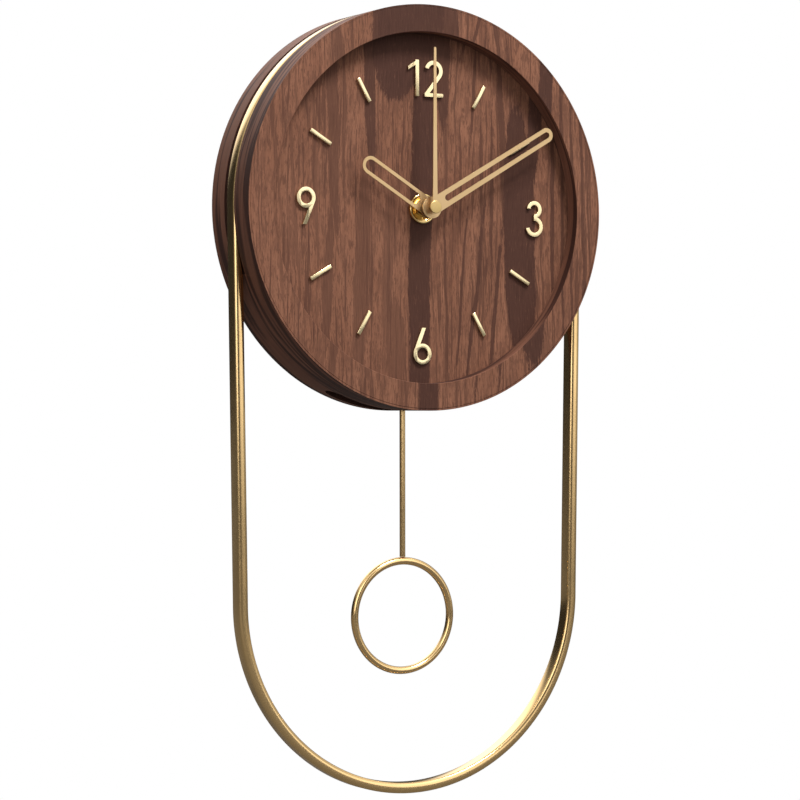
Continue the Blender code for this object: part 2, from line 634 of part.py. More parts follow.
def make_hands():
    press = 0.15 * MM
    hour = blade(HOUR_LEN, HOUR_W, HOUR_W, HOUR_HUB_R)
    hour_slot = slot(HOUR_HUB_R + HUB_INSET, HOUR_LEN - (HOUR_W - HOUR_SLOT_W) / 2, HOUR_SLOT_W)
    hour_hand = flat("hour_hand", [turn(hour, HOUR_ANGLE), turn(hour_slot, HOUR_ANGLE),
                                   circle(HOUR_PIPE_R + press, SMALL_SIDES)],
                     blade_span(HOUR_DEPTH), "satin_gold")
    collar = flat("hour_collar", [circle(HOUR_PIPE_R + 2 * MM, SMALL_SIDES),
                                  circle(HOUR_PIPE_R + press, SMALL_SIDES)],
                  (HOUR_DEPTH, HOUR_DEPTH + HOUR_COLLAR))
    join(hour_hand, collar)
    minute = blade(MINUTE_LEN, MINUTE_W, MINUTE_TIP_W, MINUTE_HUB_R)
    minute_slot = slot(MINUTE_HUB_R + 2 * HUB_INSET + 2 * MM,
                       MINUTE_LEN - (MINUTE_TIP_W - MINUTE_SLOT_W) / 2, MINUTE_SLOT_W)
    minute_hand = flat("minute_hand", [turn(minute, MINUTE_ANGLE), turn(minute_slot, MINUTE_ANGLE),
                                       circle(MINUTE_PIPE_R + press, SMALL_SIDES)],
                       blade_span(MINUTE_DEPTH), "satin_gold")
    boss = flat("minute_boss", [circle(MINUTE_HUB_R - MM, SMALL_SIDES),
                                circle(MINUTE_PIPE_R + press, SMALL_SIDES)],
                (MINUTE_DEPTH, MINUTE_DEPTH + 2.4 * MM))
    join(minute_hand, boss)
    second = blade(SECOND_LEN, SECOND_W, SECOND_TIP_W, CAP_R - 0.4 * MM, 4)
    second_hand = flat("second_hand", [turn(second, SECOND_ANGLE),
                                       circle(SECOND_ARBOR_R + press, 12)],
                       blade_span(SECOND_DEPTH), "satin_gold")
    tube = flat("second_tube", [circle(2.2 * MM, 16), circle(SECOND_ARBOR_R + press, 12)],
                (SECOND_DEPTH, MINUTE_DEPTH - BLADE_T / 2 - 0.6 * MM))
    join(second_hand, tube)
    cap_rear = SECOND_DEPTH - BLADE_T / 2 - 0.2 * MM
    turned("centre_cap", [(0, cap_rear), (CAP_R - 0.2 * MM, cap_rear), (CAP_R, cap_rear - 0.3 * MM),
                          (CAP_R, cap_rear - CAP_T + 0.3 * MM),
                          (CAP_R - 0.3 * MM, cap_rear - CAP_T), (0, cap_rear - CAP_T)],
           "satin_gold", sides=SMALL_SIDES)
    return cap_rear


# ---- clock movement ----------------------------------------------------------------------
# depths of the front face of each layer of wheels
LAYER_HOUR = INSIDE_FRONT + 0.4 * MM
LAYER_MOTION = LAYER_HOUR + 1.4 * MM
LAYER_MINUTE = LAYER_MOTION + 1.4 * MM
LAYER_THIRD = LAYER_MINUTE + 2.0 * MM
BRIDGE = LAYER_THIRD + 1.4 * MM
LAYER_SECOND = BRIDGE + 1.6 * MM
LAYER_FAST = LAYER_SECOND + 2.0 * MM
BRIDGE_T = 0.8 * MM

TRAIN = {  # followed wheel's teeth, pinion's teeth, module in metres, angle of the line of centres
    "third": (45, 6, 0.45 * MM, 172.0),
    "inner": (30, 6, 0.50 * MM, 60.0),
    "rotor": (36, 6, 0.42 * MM, 15.0),
    "motion": (24, 8, 0.50 * MM, -35.0),
    "setting": (24, 12, 0.50 * MM, -8.0),
}


def step_from(origin, key):
    wheel, pinion, module, angle = TRAIN[key]
    x, z = polar(module * (wheel + pinion) / 2, angle)
    return origin[0] + x, origin[1] + z


CENTRE = (0.0, 0.0)
THIRD_AT = step_from(CENTRE, "third")
INNER_AT = step_from(CENTRE, "inner")
ROTOR_AT = step_from(INNER_AT, "rotor")
MOTION_AT = step_from(CENTRE, "motion")
SETTING_AT = step_from(MOTION_AT, "setting")


def meet_phase(teeth, towards):
    """Phase that puts the gap between two teeth on the line towards a mating wheel."""
    return towards + 180.0 / teeth


def wheel(name, teeth, module, phase, layer, at, kind=None, bore=0.0):
    loops = [gear(teeth, module, phase)]
    if bore:
        loops.append(circle(bore, 16))
    return flat(name, loops, (layer, layer + WHEEL_T), kind, *at)


def arbor(name, radius, span, at):
    return rod(name, radius, span, at[0], at[1], sides=12)


def make_train():
    pivot = 0.7 * MM
    wheel_45, pinion_6, _, third_angle = TRAIN["third"]
    third_module = TRAIN["third"][2]
    centre_module = third_module * (wheel_45 + pinion_6) / (48 + 6)
    third = wheel("third_wheel", wheel_45, third_module, meet_phase(45, third_angle + 180),
                  LAYER_THIRD, THIRD_AT, "white_plastic")
    join(third, wheel("third_pinion", 6, centre_module, third_angle + 180, LAYER_MINUTE, THIRD_AT),
         arbor("third_arbor", pivot, (INSIDE_FRONT - 0.7 * MM, BRIDGE + 0.5 * MM), THIRD_AT))

    second = wheel("second_wheel", 30, TRAIN["inner"][2], meet_phase(30, TRAIN["inner"][3]),
                   LAYER_SECOND, CENTRE, "brass_wheel")
    join(second, wheel("second_pinion", 6, third_module, third_angle, LAYER_THIRD, CENTRE),
         arbor("second_arbor", SECOND_ARBOR_R,
               (SECOND_DEPTH - BLADE_T / 2 - 0.05 * MM, INSIDE_REAR + 0.5 * MM), CENTRE))

    inner_angle = TRAIN["inner"][3]
    inner = wheel("intermediate_wheel", 36, TRAIN["rotor"][2], meet_phase(36, TRAIN["rotor"][3]),
                  LAYER_FAST, INNER_AT, "white_plastic")
    join(inner, wheel("intermediate_pinion", 6, TRAIN["inner"][2], inner_angle + 180,
                      LAYER_SECOND, INNER_AT),
         arbor("intermediate_arbor", pivot, (BRIDGE + 0.3 * MM, INSIDE_REAR + 0.5 * MM), INNER_AT))

    rotor = wheel("rotor", 6, TRAIN["rotor"][2], TRAIN["rotor"][3] + 180, LAYER_FAST,
                  ROTOR_AT, "zinc_steel")
    join(rotor, rod("rotor_magnet", 2.7 * MM, (LAYER_SECOND - 0.2 * MM, LAYER_FAST - 0.4 * MM),
                    *ROTOR_AT, sides=16),
         arbor("rotor_arbor", pivot, (BRIDGE + 0.3 * MM, INSIDE_REAR + 0.5 * MM), ROTOR_AT))

    minute = wheel("minute_wheel", 48, centre_module, meet_phase(48, third_angle), LAYER_MINUTE,
                   CENTRE, "brass_wheel", MINUTE_BORE_R)
    cannon = wheel("cannon_pinion", 8, TRAIN["motion"][2], TRAIN["motion"][3], LAYER_MOTION,
                   CENTRE, None, MINUTE_BORE_R)
    pipe = flat("minute_pipe", [circle(MINUTE_PIPE_R, 16), circle(MINUTE_BORE_R, 16)],
                (MINUTE_DEPTH - BLADE_T / 2, LAYER_MINUTE + WHEEL_T / 2))
    join(minute, pipe, cannon)

    motion_angle = TRAIN["motion"][3]
    hour_module = TRAIN["motion"][2] * (24 + 8) / (24 + 6)
    motion = wheel("motion_wheel", 24, TRAIN["motion"][2], meet_phase(24, motion_angle + 180),
                   LAYER_MOTION, MOTION_AT, "white_plastic")
    join(motion, wheel("motion_pinion", 6, hour_module, motion_angle + 180, LAYER_HOUR, MOTION_AT),
         arbor("motion_arbor", pivot, (INSIDE_FRONT - 0.7 * MM, LAYER_MINUTE - 0.2 * MM), MOTION_AT))

    hour = wheel("hour_wheel", 24, hour_module, meet_phase(24, motion_angle), LAYER_HOUR,
                 CENTRE, "brass_wheel", HOUR_BORE_R)
    join(hour, flat("hour_pipe", [circle(HOUR_PIPE_R, 16), circle(HOUR_BORE_R, 16)],
                    (HOUR_DEPTH - BLADE_T / 2, LAYER_HOUR + WHEEL_T / 2)))

    # the motion wheel's teeth are already placed, so the setting pinion's gap meets them
    setting_angle = TRAIN["setting"][3]
    tooth = meet_phase(24, motion_angle + 180)
    offset = (setting_angle - tooth) % (360.0 / 24)
    phase = setting_angle + 180 + 180.0 / 12 + offset * 24 / 12
    knob = wheel("setting_knob", 12, TRAIN["setting"][2], phase, LAYER_MOTION, SETTING_AT,
                 "black_plastic")
    knob_face = BODY_REAR + 0.4 * MM
    join(knob, arbor("setting_arbor", 1.0 * MM, (INSIDE_FRONT - 0.7 * MM, knob_face + MM),
                     SETTING_AT),
         flat("knob_head", [gear(20, 0.5 * MM, 0)], (knob_face, knob_face + 2.4 * MM), None,
              *SETTING_AT))


def pivot_holes(obj, name, radius, span, *places):
    for i, at in enumerate(places):
        cut(obj, rod("%s_%d" % (name, i), radius, span, at[0], at[1], sides=12))


BRIDGE_X = (-20.0 * MM, 21.0 * MM)
BRIDGE_Z = (-10.8 * MM, 15.4 * MM)


def make_housing():
    """Front half and rear cover of the clock housing, the bridge between the wheels."""
    half_w = BODY_W / 2
    half_h = BODY_H / 2
    split = INSIDE_REAR - 2.0 * MM
    pivot_r = 0.7 * MM + RUN
    front = box("movement_case", (-half_w, half_w), (BODY_FRONT, split), (-half_h, half_h),
                "black_plastic")
    cut(front, box("case_hollow", (-half_w + SKIN, half_w - SKIN), (INSIDE_FRONT, split + MM),
                   (-half_h + SKIN, half_h - SKIN)))
    bushing = rod("bushing", BUSHING_R, (BUSHING_FRONT, BODY_FRONT + SKIN / 2))
    join(front, bushing)
    cut(front, rod("bushing_bore", BUSHING_BORE_R, (BUSHING_FRONT - MM, INSIDE_FRONT + MM)))
    pivot_holes(front, "front_pivot", pivot_r, (INSIDE_FRONT - 0.9 * MM, INSIDE_FRONT + MM),
                THIRD_AT, MOTION_AT)
    pivot_holes(front, "front_setting", 1.0 * MM + RUN,
                (INSIDE_FRONT - 0.9 * MM, INSIDE_FRONT + MM), SETTING_AT)

    cover = box("movement_cover", (-half_w, half_w), (split + GAP, BODY_REAR),
                (-half_h, half_h), "black_plastic")
    cut(cover, box("cover_hollow", (-half_w + SKIN, half_w - SKIN), (split - MM, INSIDE_REAR),
                   (-half_h + SKIN, half_h - SKIN)))
    pivot_holes(cover, "rear_pivot", pivot_r, (INSIDE_REAR - MM, INSIDE_REAR + 0.7 * MM),
                CENTRE, INNER_AT, ROTOR_AT)
    pivot_holes(cover, "rear_setting", 1.0 * MM + RUN, (INSIDE_REAR - MM, BODY_REAR + MM),
                SETTING_AT)
    bay_r = BATTERY_R + 0.6 * MM
    cut(cover, box("battery_mouth", (-BATTERY_LEN / 2 - 0.8 * MM, BATTERY_LEN / 2 + 0.8 * MM),
                   (INSIDE_REAR - 2 * MM, BODY_REAR + MM), (BATTERY_Z - bay_r, BATTERY_Z + bay_r)))

    bridge = box("train_bridge", BRIDGE_X, (BRIDGE, BRIDGE + BRIDGE_T), BRIDGE_Z, "white_plastic")
    pivot_holes(bridge, "bridge_hole", pivot_r, (BRIDGE - MM, BRIDGE + 2 * MM),
                THIRD_AT, INNER_AT, ROTOR_AT, CENTRE)
    pivot_holes(bridge, "bridge_setting", 1.0 * MM + RUN, (BRIDGE - MM, BRIDGE + 2 * MM),
                SETTING_AT)


def make_motor():
    """Stator, coil, circuit board, battery and its two contacts."""
    plate_t = 1.0 * MM
    plate = (LAYER_SECOND + 0.2 * MM, LAYER_SECOND + 0.2 * MM + plate_t)
    rx, rz = ROTOR_AT
    low = rz - 4.6 * MM
    core = 19.0 * MM
    left = -15.5 * MM
    stator = [(rx - 4.4 * MM, low), (rx + 5.4 * MM, low), (rx + 5.4 * MM, core + 2 * MM),
              (left, core + 2 * MM), (left, core), (rx - 4.4 * MM, core)]
    flat("stator", [stator, circle(3.3 * MM, SMALL_SIDES, rx, rz)], plate, "zinc_steel")
    coil_half = 8.0 * MM
    coil = turned("motor_coil", [
        (3.6 * MM, coil_half), (3.6 * MM, -coil_half), (1.4 * MM, -coil_half),
        (1.4 * MM, coil_half)], "copper_wire", sides=SMALL_SIDES)
    coil.rotation_euler = (0, math.pi / 2, 0)
    coil.location = (left + 1.2 * MM + coil_half, depth(sum(plate) / 2), height(core + MM))
    board_z = (-9.5 * MM, 14.5 * MM)
    box("circuit_board", (-25.8 * MM, -23.8 * MM), (INSIDE_FRONT + MM, INSIDE_REAR - MM), board_z,
        "green_board")
    cell_depth = INSIDE_FRONT + GAP + BATTERY_R
    bpy.ops.mesh.primitive_cylinder_add(
        vertices=SMALL_SIDES, radius=BATTERY_R, depth=BATTERY_LEN,
        location=(0, depth(cell_depth), height(BATTERY_Z)), rotation=(0, math.pi / 2, 0))
    place(bpy.context.object, "battery", "battery_sleeve")
    half_w = BODY_W / 2 - SKIN
    for side, sign in (("positive", 1), ("negative", -1)):
        x = sorted((sign * (half_w - GAP), sign * (BATTERY_LEN / 2 + GAP)))
        box("contact_" + side, x, (INSIDE_FRONT + 3 * MM, INSIDE_REAR - 4 * MM),
            (BATTERY_Z - 4 * MM, BATTERY_Z + 4 * MM), "zinc_steel")


def make_clamp():
    """Rubber washer behind the dial, dished brass washer and nut in front of it."""
    hole = BUSHING_R + GAP
    rubber_front = RECESS + DIAL_T + GAP
    flat("rubber_washer", [circle(RUBBER_R, SMALL_SIDES), circle(hole, SMALL_SIDES)],
         (rubber_front, rubber_front + RUBBER_T), "black_rubber")
    rear = RECESS - GAP
    front = RECESS - WASHER_T
    turned("dial_washer", [
        (WASHER_R - 0.4 * MM, rear), (WASHER_R, rear - 0.6 * MM), (WASHER_R, front + MM),
        (WASHER_R - MM, front), (WASHER_R - 2.4 * MM, front + 0.5 * MM),
        (WASHER_R - 3.6 * MM, front + 1.5 * MM), (hole, front + 1.5 * MM), (hole, rear)],
        "polished_brass", sides=32)
    seat = front + 1.5 * MM - GAP
    corner = NUT_FLAT / math.sqrt(3)
    flat("hex_nut", [circle(corner, 6), circle(hole, SMALL_SIDES)], (seat - NUT_T, seat),
         "polished_brass")


# ---- pendulum ----------------------------------------------------------------------------
def make_drive():
    """Housing above the clock, with the coil that keeps the pendulum swinging."""
    half = DRIVE_W / 2
    high = DRIVE_LOW + DRIVE_H
    shell = box("drive_housing", (-half, half), (BODY_FRONT, DRIVE_REAR), (DRIVE_LOW, high),
                "black_plastic")
    cut(shell, box("drive_hollow", (-half + SKIN, half - SKIN), (BODY_FRONT - MM, DRIVE_REAR - SKIN),
                   (DRIVE_LOW + SKIN, high - SKIN)))
    pin_bore = PIVOT_R + 0.05 * MM
    boss = rod("pivot_boss", 3.2 * MM, (BODY_FRONT + 6 * MM, DRIVE_REAR + 0.8 * MM), 0, PIVOT_Z)
    join(shell, boss)
    cut(shell, rod("pivot_socket", pin_bore + 0.1 * MM, (DRIVE_REAR - 8 * MM, DRIVE_REAR + 4 * MM),
                   0, PIVOT_Z))
    coil_rear = DRIVE_REAR - SKIN - GAP
    flat("drive_coil", [circle(6.5 * MM, SMALL_SIDES), circle(2.4 * MM, 12)],
         (coil_rear - 7 * MM, coil_rear), "copper_wire", z=DRIVE_LOW + SKIN + 8.0 * MM)
    arm_rear = PENDULUM_DEPTH + ARM_T / 2
    turned("pivot_pin", [
        (0, arm_rear + 1.6 * MM), (3.0 * MM, arm_rear + 1.2 * MM), (3.0 * MM, arm_rear + GAP),
        (PIVOT_R, arm_rear + GAP), (PIVOT_R, DRIVE_REAR - 7 * MM), (0, DRIVE_REAR - 7 * MM)],
        "zinc_steel", 0, PIVOT_Z, SMALL_SIDES)


def make_pendulum():
    arm_span = (PENDULUM_DEPTH - ARM_T / 2, PENDULUM_DEPTH + ARM_T / 2)
    drop = PIVOT_Z - ARM_END
    hub_r = 4.0 * MM
    meet = math.degrees(math.acos(ARM_W / 2 / hub_r))
    outline = (arc(0, 0, hub_r, -90 + (90 - meet), 270 - (90 - meet), 14)
               + [(-ARM_W / 2, -drop), (ARM_W / 2, -drop)])
    arm = flat("pendulum_arm", [outline, circle(PIVOT_R + RUN, SMALL_SIDES)], arm_span,
               "black_plastic", z=PIVOT_Z)
    socket_r = ROD_R + 1.4 * MM
    bpy.ops.mesh.primitive_cylinder_add(
        vertices=SMALL_SIDES, radius=socket_r, depth=16 * MM,
        location=(0, depth(PENDULUM_DEPTH), height(ARM_END - 5 * MM)))
    join(arm, place(bpy.context.object, "arm_socket"))
    bpy.ops.mesh.primitive_cylinder_add(
        vertices=SMALL_SIDES, radius=ROD_R + 0.15 * MM, depth=16 * MM,
        location=(0, depth(PENDULUM_DEPTH), height(ARM_END - 5 * MM - 8 * MM)))
    cut(arm, place(bpy.context.object, "arm_socket_bore"))
    magnet_rear = PENDULUM_DEPTH - ARM_T / 2 - 0.1 * MM
    rod("arm_magnet", 3.0 * MM, (magnet_rear - 1.6 * MM, magnet_rear), 0,
        DRIVE_LOW + SKIN + 8.0 * MM, "zinc_steel", 16)

    rod_end = BOB_Z + BOB_R + BOB_TUBE_R + GAP / 2
    bpy.ops.mesh.primitive_cylinder_add(
        vertices=16, radius=ROD_R, depth=ROD_TOP - rod_end,
        location=(0, depth(PENDULUM_DEPTH), height((ROD_TOP + rod_end) / 2)))
    place(bpy.context.object, "pendulum_rod", "polished_brass")
    bpy.ops.mesh.primitive_torus_add(
        major_segments=48, minor_segments=10, major_radius=BOB_R, minor_radius=BOB_TUBE_R,
        location=(0, depth(PENDULUM_DEPTH), height(BOB_Z)), rotation=(math.pi / 2, 0, 0))
    place(bpy.context.object, "pendulum_ring", "polished_brass")


make_case_wall()
make_front_board()
make_back()
make_loop()
make_batons()
make_numerals()
make_hands()
make_housing()
make_train()
make_motor()
make_clamp()
make_drive()
make_pendulum()
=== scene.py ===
"""Looks of the pendulum wall clock: walnut drum, polished brass loop, pale gold hands and marks.

Metres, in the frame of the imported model.  Depth means distance back from the drum's front rim.
"""
import json
import math

import bpy
from mathutils import Matrix, Vector


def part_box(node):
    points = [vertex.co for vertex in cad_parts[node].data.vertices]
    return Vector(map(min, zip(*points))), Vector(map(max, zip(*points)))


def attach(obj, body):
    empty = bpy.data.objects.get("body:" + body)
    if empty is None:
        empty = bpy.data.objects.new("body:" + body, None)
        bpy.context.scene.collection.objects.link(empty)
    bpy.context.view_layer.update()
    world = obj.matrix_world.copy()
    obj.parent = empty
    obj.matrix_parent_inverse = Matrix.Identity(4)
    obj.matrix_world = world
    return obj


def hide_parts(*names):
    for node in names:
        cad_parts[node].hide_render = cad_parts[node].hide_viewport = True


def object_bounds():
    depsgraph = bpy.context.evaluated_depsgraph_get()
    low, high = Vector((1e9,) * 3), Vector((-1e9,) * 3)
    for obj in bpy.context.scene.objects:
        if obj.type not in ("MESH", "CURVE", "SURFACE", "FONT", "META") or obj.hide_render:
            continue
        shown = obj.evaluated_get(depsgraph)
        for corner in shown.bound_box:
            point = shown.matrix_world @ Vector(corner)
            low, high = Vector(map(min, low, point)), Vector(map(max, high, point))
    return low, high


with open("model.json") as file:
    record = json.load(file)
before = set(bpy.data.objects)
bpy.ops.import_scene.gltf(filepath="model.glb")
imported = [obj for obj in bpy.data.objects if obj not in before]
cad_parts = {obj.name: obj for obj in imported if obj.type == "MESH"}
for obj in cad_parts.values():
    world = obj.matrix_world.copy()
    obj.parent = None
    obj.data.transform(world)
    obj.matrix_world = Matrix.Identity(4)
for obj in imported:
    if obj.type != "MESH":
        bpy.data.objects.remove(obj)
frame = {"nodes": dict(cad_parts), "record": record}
CAD_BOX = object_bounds()
MM = 0.001

# ---- places and sizes, read from the frame where it has them -----------------------------
WALL_LOW, WALL_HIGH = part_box("case_wall")
CASE_R = (WALL_HIGH.x - WALL_LOW.x) / 2
AXIS_Z = (WALL_HIGH.z + WALL_LOW.z) / 2
FRONT_Y = WALL_LOW.y
REAR_Y = WALL_HIGH.y
AXIS = Vector((0, 0, AXIS_Z))

WALL_T = 12.0 * MM
LIP = 1.3 * MM
OPENING_R = 125.5 * MM
GROOVE = (22.6 * MM, 37.8 * MM)
SLOT_HALF = 63.0 * MM
SLOT = (30.0 * MM, 48.0 * MM)
REAR_STEP_R = 139.0 * MM
REAR_STEP = 52.4 * MM
BAR_W = 7.6 * MM
BAR_CORNER = 1.0 * MM
DOME = 1.3 * MM                 # how far the bar's front rounds back at its sides
DOME_POWER = 2.6                # higher keeps the middle of the front flatter
DOME_FADE = 4 * MM              # depth at which the rounding has died away
LOOP_TOP_R = 141.1 * MM
LOOP_BOTTOM_R = 136.8 * MM
LOOP_DROP = 280.2 * MM
GAP = 0.3 * MM
TOUCH = 0.002 * MM              # points closer than this are one
HAIR = 0.001 * MM               # clear of zero in a test of place

SMOOTH = 360                    # sides of the big round pieces
ROUND = 64                      # sides of the small ones
BEND_STEPS = 180                # steps in each half turn of the bar
BEND_STEPS = 180                # steps in each half turn of the bar

CASE = "clock_case"
BODY = {part: body for body, parts in frame["record"]["behaviour"]["bodies"].items()
        for part in parts}
SLOT_NAME = {entry["node"]: entry["material_slot"] for entry in frame["record"]["subparts"]}
MINUTE_ANGLE = 60.0
HOUR_ANGLE = 300.8


def depth(d):
    return FRONT_Y + d


def span(node):
    """Front and rear Y of a CAD node."""
    low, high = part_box(node)
    return low.y, high.y


def middle(node):
    low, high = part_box(node)
    return (low + high) / 2


def past(y):
    """The depth of a tool that cuts right through a piece."""
    return y[0] - MM, y[1] + MM


# ---- modelling ---------------------------------------------------------------------------
def deselect():
    if bpy.context.object and bpy.context.object.mode != "OBJECT":
        bpy.ops.object.mode_set(mode="OBJECT")
    bpy.ops.object.select_all(action="DESELECT")


def only(obj):
    deselect()
    obj.select_set(True)
    bpy.context.view_layer.objects.active = obj
    return obj


def named(name):
    """Name the piece just added, with its place moved into its mesh."""
    obj = bpy.context.object
    only(obj)
    bpy.ops.object.transform_apply(location=True, rotation=True, scale=True)
    obj.name = name
    obj.data.name = name
    return obj


def disc(name, radius, y, x=0.0, z=AXIS_Z, sides=SMOOTH):
    """A solid disc or rod between two Y planes."""
    deselect()
    bpy.ops.mesh.primitive_cylinder_add(
        vertices=sides, radius=radius, depth=y[1] - y[0],
        location=(x, (y[0] + y[1]) / 2, z), rotation=(math.pi / 2, 0, 0))
    return named(name)


def block(name, x, y, z):
    deselect()
    bpy.ops.mesh.primitive_cube_add(
        size=1, location=((x[0] + x[1]) / 2, (y[0] + y[1]) / 2, (z[0] + z[1]) / 2),
        scale=(x[1] - x[0], y[1] - y[0], z[1] - z[0]))
    return named(name)


def pick(obj, test):
    """Go to edit mode with only the points that pass the test selected."""
    only(obj)
    bpy.ops.object.mode_set(mode="EDIT")
    bpy.ops.mesh.select_mode(type="VERT")
    bpy.ops.mesh.select_all(action="DESELECT")
    bpy.ops.object.mode_set(mode="OBJECT")
    for point in obj.data.vertices:
        point.select = test(point.co)
    bpy.ops.object.mode_set(mode="EDIT")


def leave():
    bpy.ops.object.mode_set(mode="OBJECT")


def modified(obj, kind, **settings):
    """Add a modifier and apply it."""
    only(obj)
    step = obj.modifiers.new(kind.lower(), kind)
    for key, value in settings.items():
        setattr(step, key, value)
    bpy.ops.object.modifier_apply(modifier=step.name)
    return obj


def combined(obj, tool, operation):
    modified(obj, "BOOLEAN", object=tool, operation=operation, solver="EXACT")
    bpy.data.objects.remove(tool, do_unlink=True)
    return obj


def cut(obj, *tools):
    for tool in tools:
        combined(obj, tool, "DIFFERENCE")
    return obj


def join(obj, *tools):
    for tool in tools:
        combined(obj, tool, "UNION")
    return obj


def soft_edges(obj, width, segments=3, angle=30):
    modified(obj, "WELD", merge_threshold=TOUCH)
    return modified(obj, "BEVEL", width=width, segments=segments, limit_method="ANGLE",
                    angle_limit=math.radians(angle), harden_normals=False)


def turned(name, steps, x=0.0, z=AXIS_Z, sides=ROUND, closed=False):
    """A turned piece: a circle extruded and resized through (radius, y) steps.

    A closed profile is a ring in section; an open one is filled at both ends.
    """
    deselect()
    first_r, first_y = steps[0]
    bpy.ops.mesh.primitive_circle_add(vertices=sides, radius=first_r, fill_type="NOTHING",
                                      location=(x, first_y, z), rotation=(math.pi / 2, 0, 0))
    obj = named(name)
    bpy.ops.object.mode_set(mode="EDIT")
    bpy.ops.mesh.select_all(action="SELECT")
    if not closed:
        bpy.ops.mesh.edge_face_add()
        bpy.ops.mesh.select_all(action="SELECT")
    before_r, before_y = first_r, first_y
    path = list(steps[1:]) + ([steps[0]] if closed else [])
    for radius, y in path:
        bpy.ops.mesh.extrude_region_move(TRANSFORM_OT_translate={"value": (0, y - before_y, 0)})
        share = radius / before_r
        bpy.ops.transform.resize(value=(share, 1, share), center_override=(x, y, z))
        before_r, before_y = radius, y
    bpy.ops.mesh.select_all(action="SELECT")
    bpy.ops.mesh.remove_doubles(threshold=HAIR)
    bpy.ops.mesh.normals_make_consistent(inside=False)
    leave()
    return obj


def stadium(name, top_r, low_r, top_z, low_z, y, sides=ROUND):
    """A plate with round ends: a disc whose lower half is drawn down and resized."""
    obj = disc(name, top_r, y, 0.0, top_z, sides)
    pick(obj, lambda co: co.z < top_z - HAIR)
    bpy.ops.transform.translate(value=(0, 0, low_z - top_z))
    bpy.ops.transform.resize(value=(low_r / top_r, 1, low_r / top_r),
                             center_override=(0, sum(y) / 2, low_z))
    leave()
    return obj


def section(name, width, thick, corner, centre, radius, start=0.0, segments=4):
    """An open rounded rectangle that a sweep starts from.

    It stands at a radius from the centre, a number of degrees anticlockwise from +X.
    """
    deselect()
    bpy.ops.mesh.primitive_plane_add(size=1)
    obj = bpy.context.object
    obj.matrix_world = (Matrix.Translation(centre)
                        @ Matrix.Rotation(math.radians(-start), 4, "Y")
                        @ Matrix.Translation((radius, 0, 0))
                        @ Matrix.Diagonal((width, thick, 1, 1)))
    named(name)
    bpy.ops.object.mode_set(mode="EDIT")
    bpy.ops.mesh.select_all(action="SELECT")
    bpy.ops.mesh.bevel(affect="VERTICES", offset=corner, segments=segments)
    bpy.ops.mesh.select_all(action="SELECT")
    bpy.ops.mesh.delete(type="ONLY_FACE")
    bpy.ops.mesh.select_all(action="SELECT")
    return obj


def dome_section(front, half, middle_x):
    """Draw the front corners of the selected section back along a shallow round."""
    obj = bpy.context.object
    bpy.ops.mesh.select_all(action="DESELECT")
    leave()
    for edge in obj.data.edges:
        ends = [obj.data.vertices[i].co.y for i in edge.vertices]
        edge.select = max(ends) < front + 0.01 * MM
    bpy.ops.object.mode_set(mode="EDIT")
    bpy.ops.mesh.select_mode(type="EDGE")
    bpy.ops.mesh.subdivide(number_cuts=9)
    bpy.ops.mesh.select_mode(type="VERT")
    leave()
    for point in obj.data.vertices:
        share = abs(point.co.x - middle_x) / half
        fade = max(0.0, 1 - (point.co.y - front) / DOME_FADE)
        point.co.y += fade * DOME * share ** DOME_POWER
    bpy.ops.object.mode_set(mode="EDIT")
    bpy.ops.mesh.select_all(action="SELECT")


def bend(centre, degrees, steps):
    """Carry the selected section round a centre; anticlockwise from the front is positive."""
    bpy.ops.mesh.spin(steps=steps, angle=math.radians(degrees), center=centre, axis=(0, 1, 0))


def run(move):
    bpy.ops.mesh.extrude_region_move(TRANSFORM_OT_translate={"value": move})


def sealed():
    """Merge the sweep's doubles, close open ends and leave edit mode."""
    bpy.ops.mesh.select_all(action="SELECT")
    bpy.ops.mesh.remove_doubles(threshold=TOUCH)
    bpy.ops.mesh.select_all(action="SELECT")
    bpy.ops.mesh.fill_holes(sides=0)
    bpy.ops.mesh.select_all(action="SELECT")
    bpy.ops.mesh.normals_make_consistent(inside=False)
    leave()


def copied(obj, name):
    twin = obj.copy()
    twin.data = obj.data.copy()
    twin.name = name
    twin.data.name = name
    bpy.context.scene.collection.objects.link(twin)
    return twin


def turn_on_dial(obj, degrees, about=AXIS):
    """Turn a piece clockwise, as the dial is seen, about the dial's axis."""
    only(obj)
    turn = Matrix.Rotation(math.radians(degrees), 4, "Y")
    obj.matrix_world = Matrix.Translation(about) @ turn @ Matrix.Translation(-about)
    bpy.ops.object.transform_apply(location=True, rotation=True, scale=True)
    return obj


def finished(obj, material, body, slot, *nodes, angle=32, flats=True):
    """Shade, paint and hang a piece on its body, in place of the CAD nodes named."""
    only(obj)
    bpy.ops.object.shade_smooth_by_angle(angle=math.radians(angle))
    if flats:
        modified(obj, "WEIGHTED_NORMAL", keep_sharp=True, weight=60)
    obj.data.materials.clear()
    obj.data.materials.append(material)
    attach(obj, body)
    if nodes:
        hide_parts(*nodes)
    return obj


def second_finish(obj, material, test):
    """Give another material to faces by their middle's Y and least and greatest radius."""
    obj.data.materials.append(material)
    last = len(obj.data.materials) - 1
    for face in obj.data.polygons:
        corners = [obj.data.vertices[i].co for i in face.vertices]
        radii = [math.hypot(co.x, co.z - AXIS_Z) for co in corners]
        if test(face.center.y, min(radii), max(radii)):
            face.material_index = last


# ---- node helpers ------------------------------------------------------------------------
def feed(tree, made, inputs):
    """Give a node its inputs, by name or number: a socket is linked, a value is set."""
    for key, value in inputs.items():
        if isinstance(value, bpy.types.NodeSocket):
            tree.links.new(value, made.inputs[key])
        else:
            made.inputs[key].default_value = value
    return made


def node(tree, kind, inputs=None, **settings):
    made = tree.nodes.new(kind)
    for key, value in settings.items():
        setattr(made, key, value)
    return feed(tree, made, inputs or {})


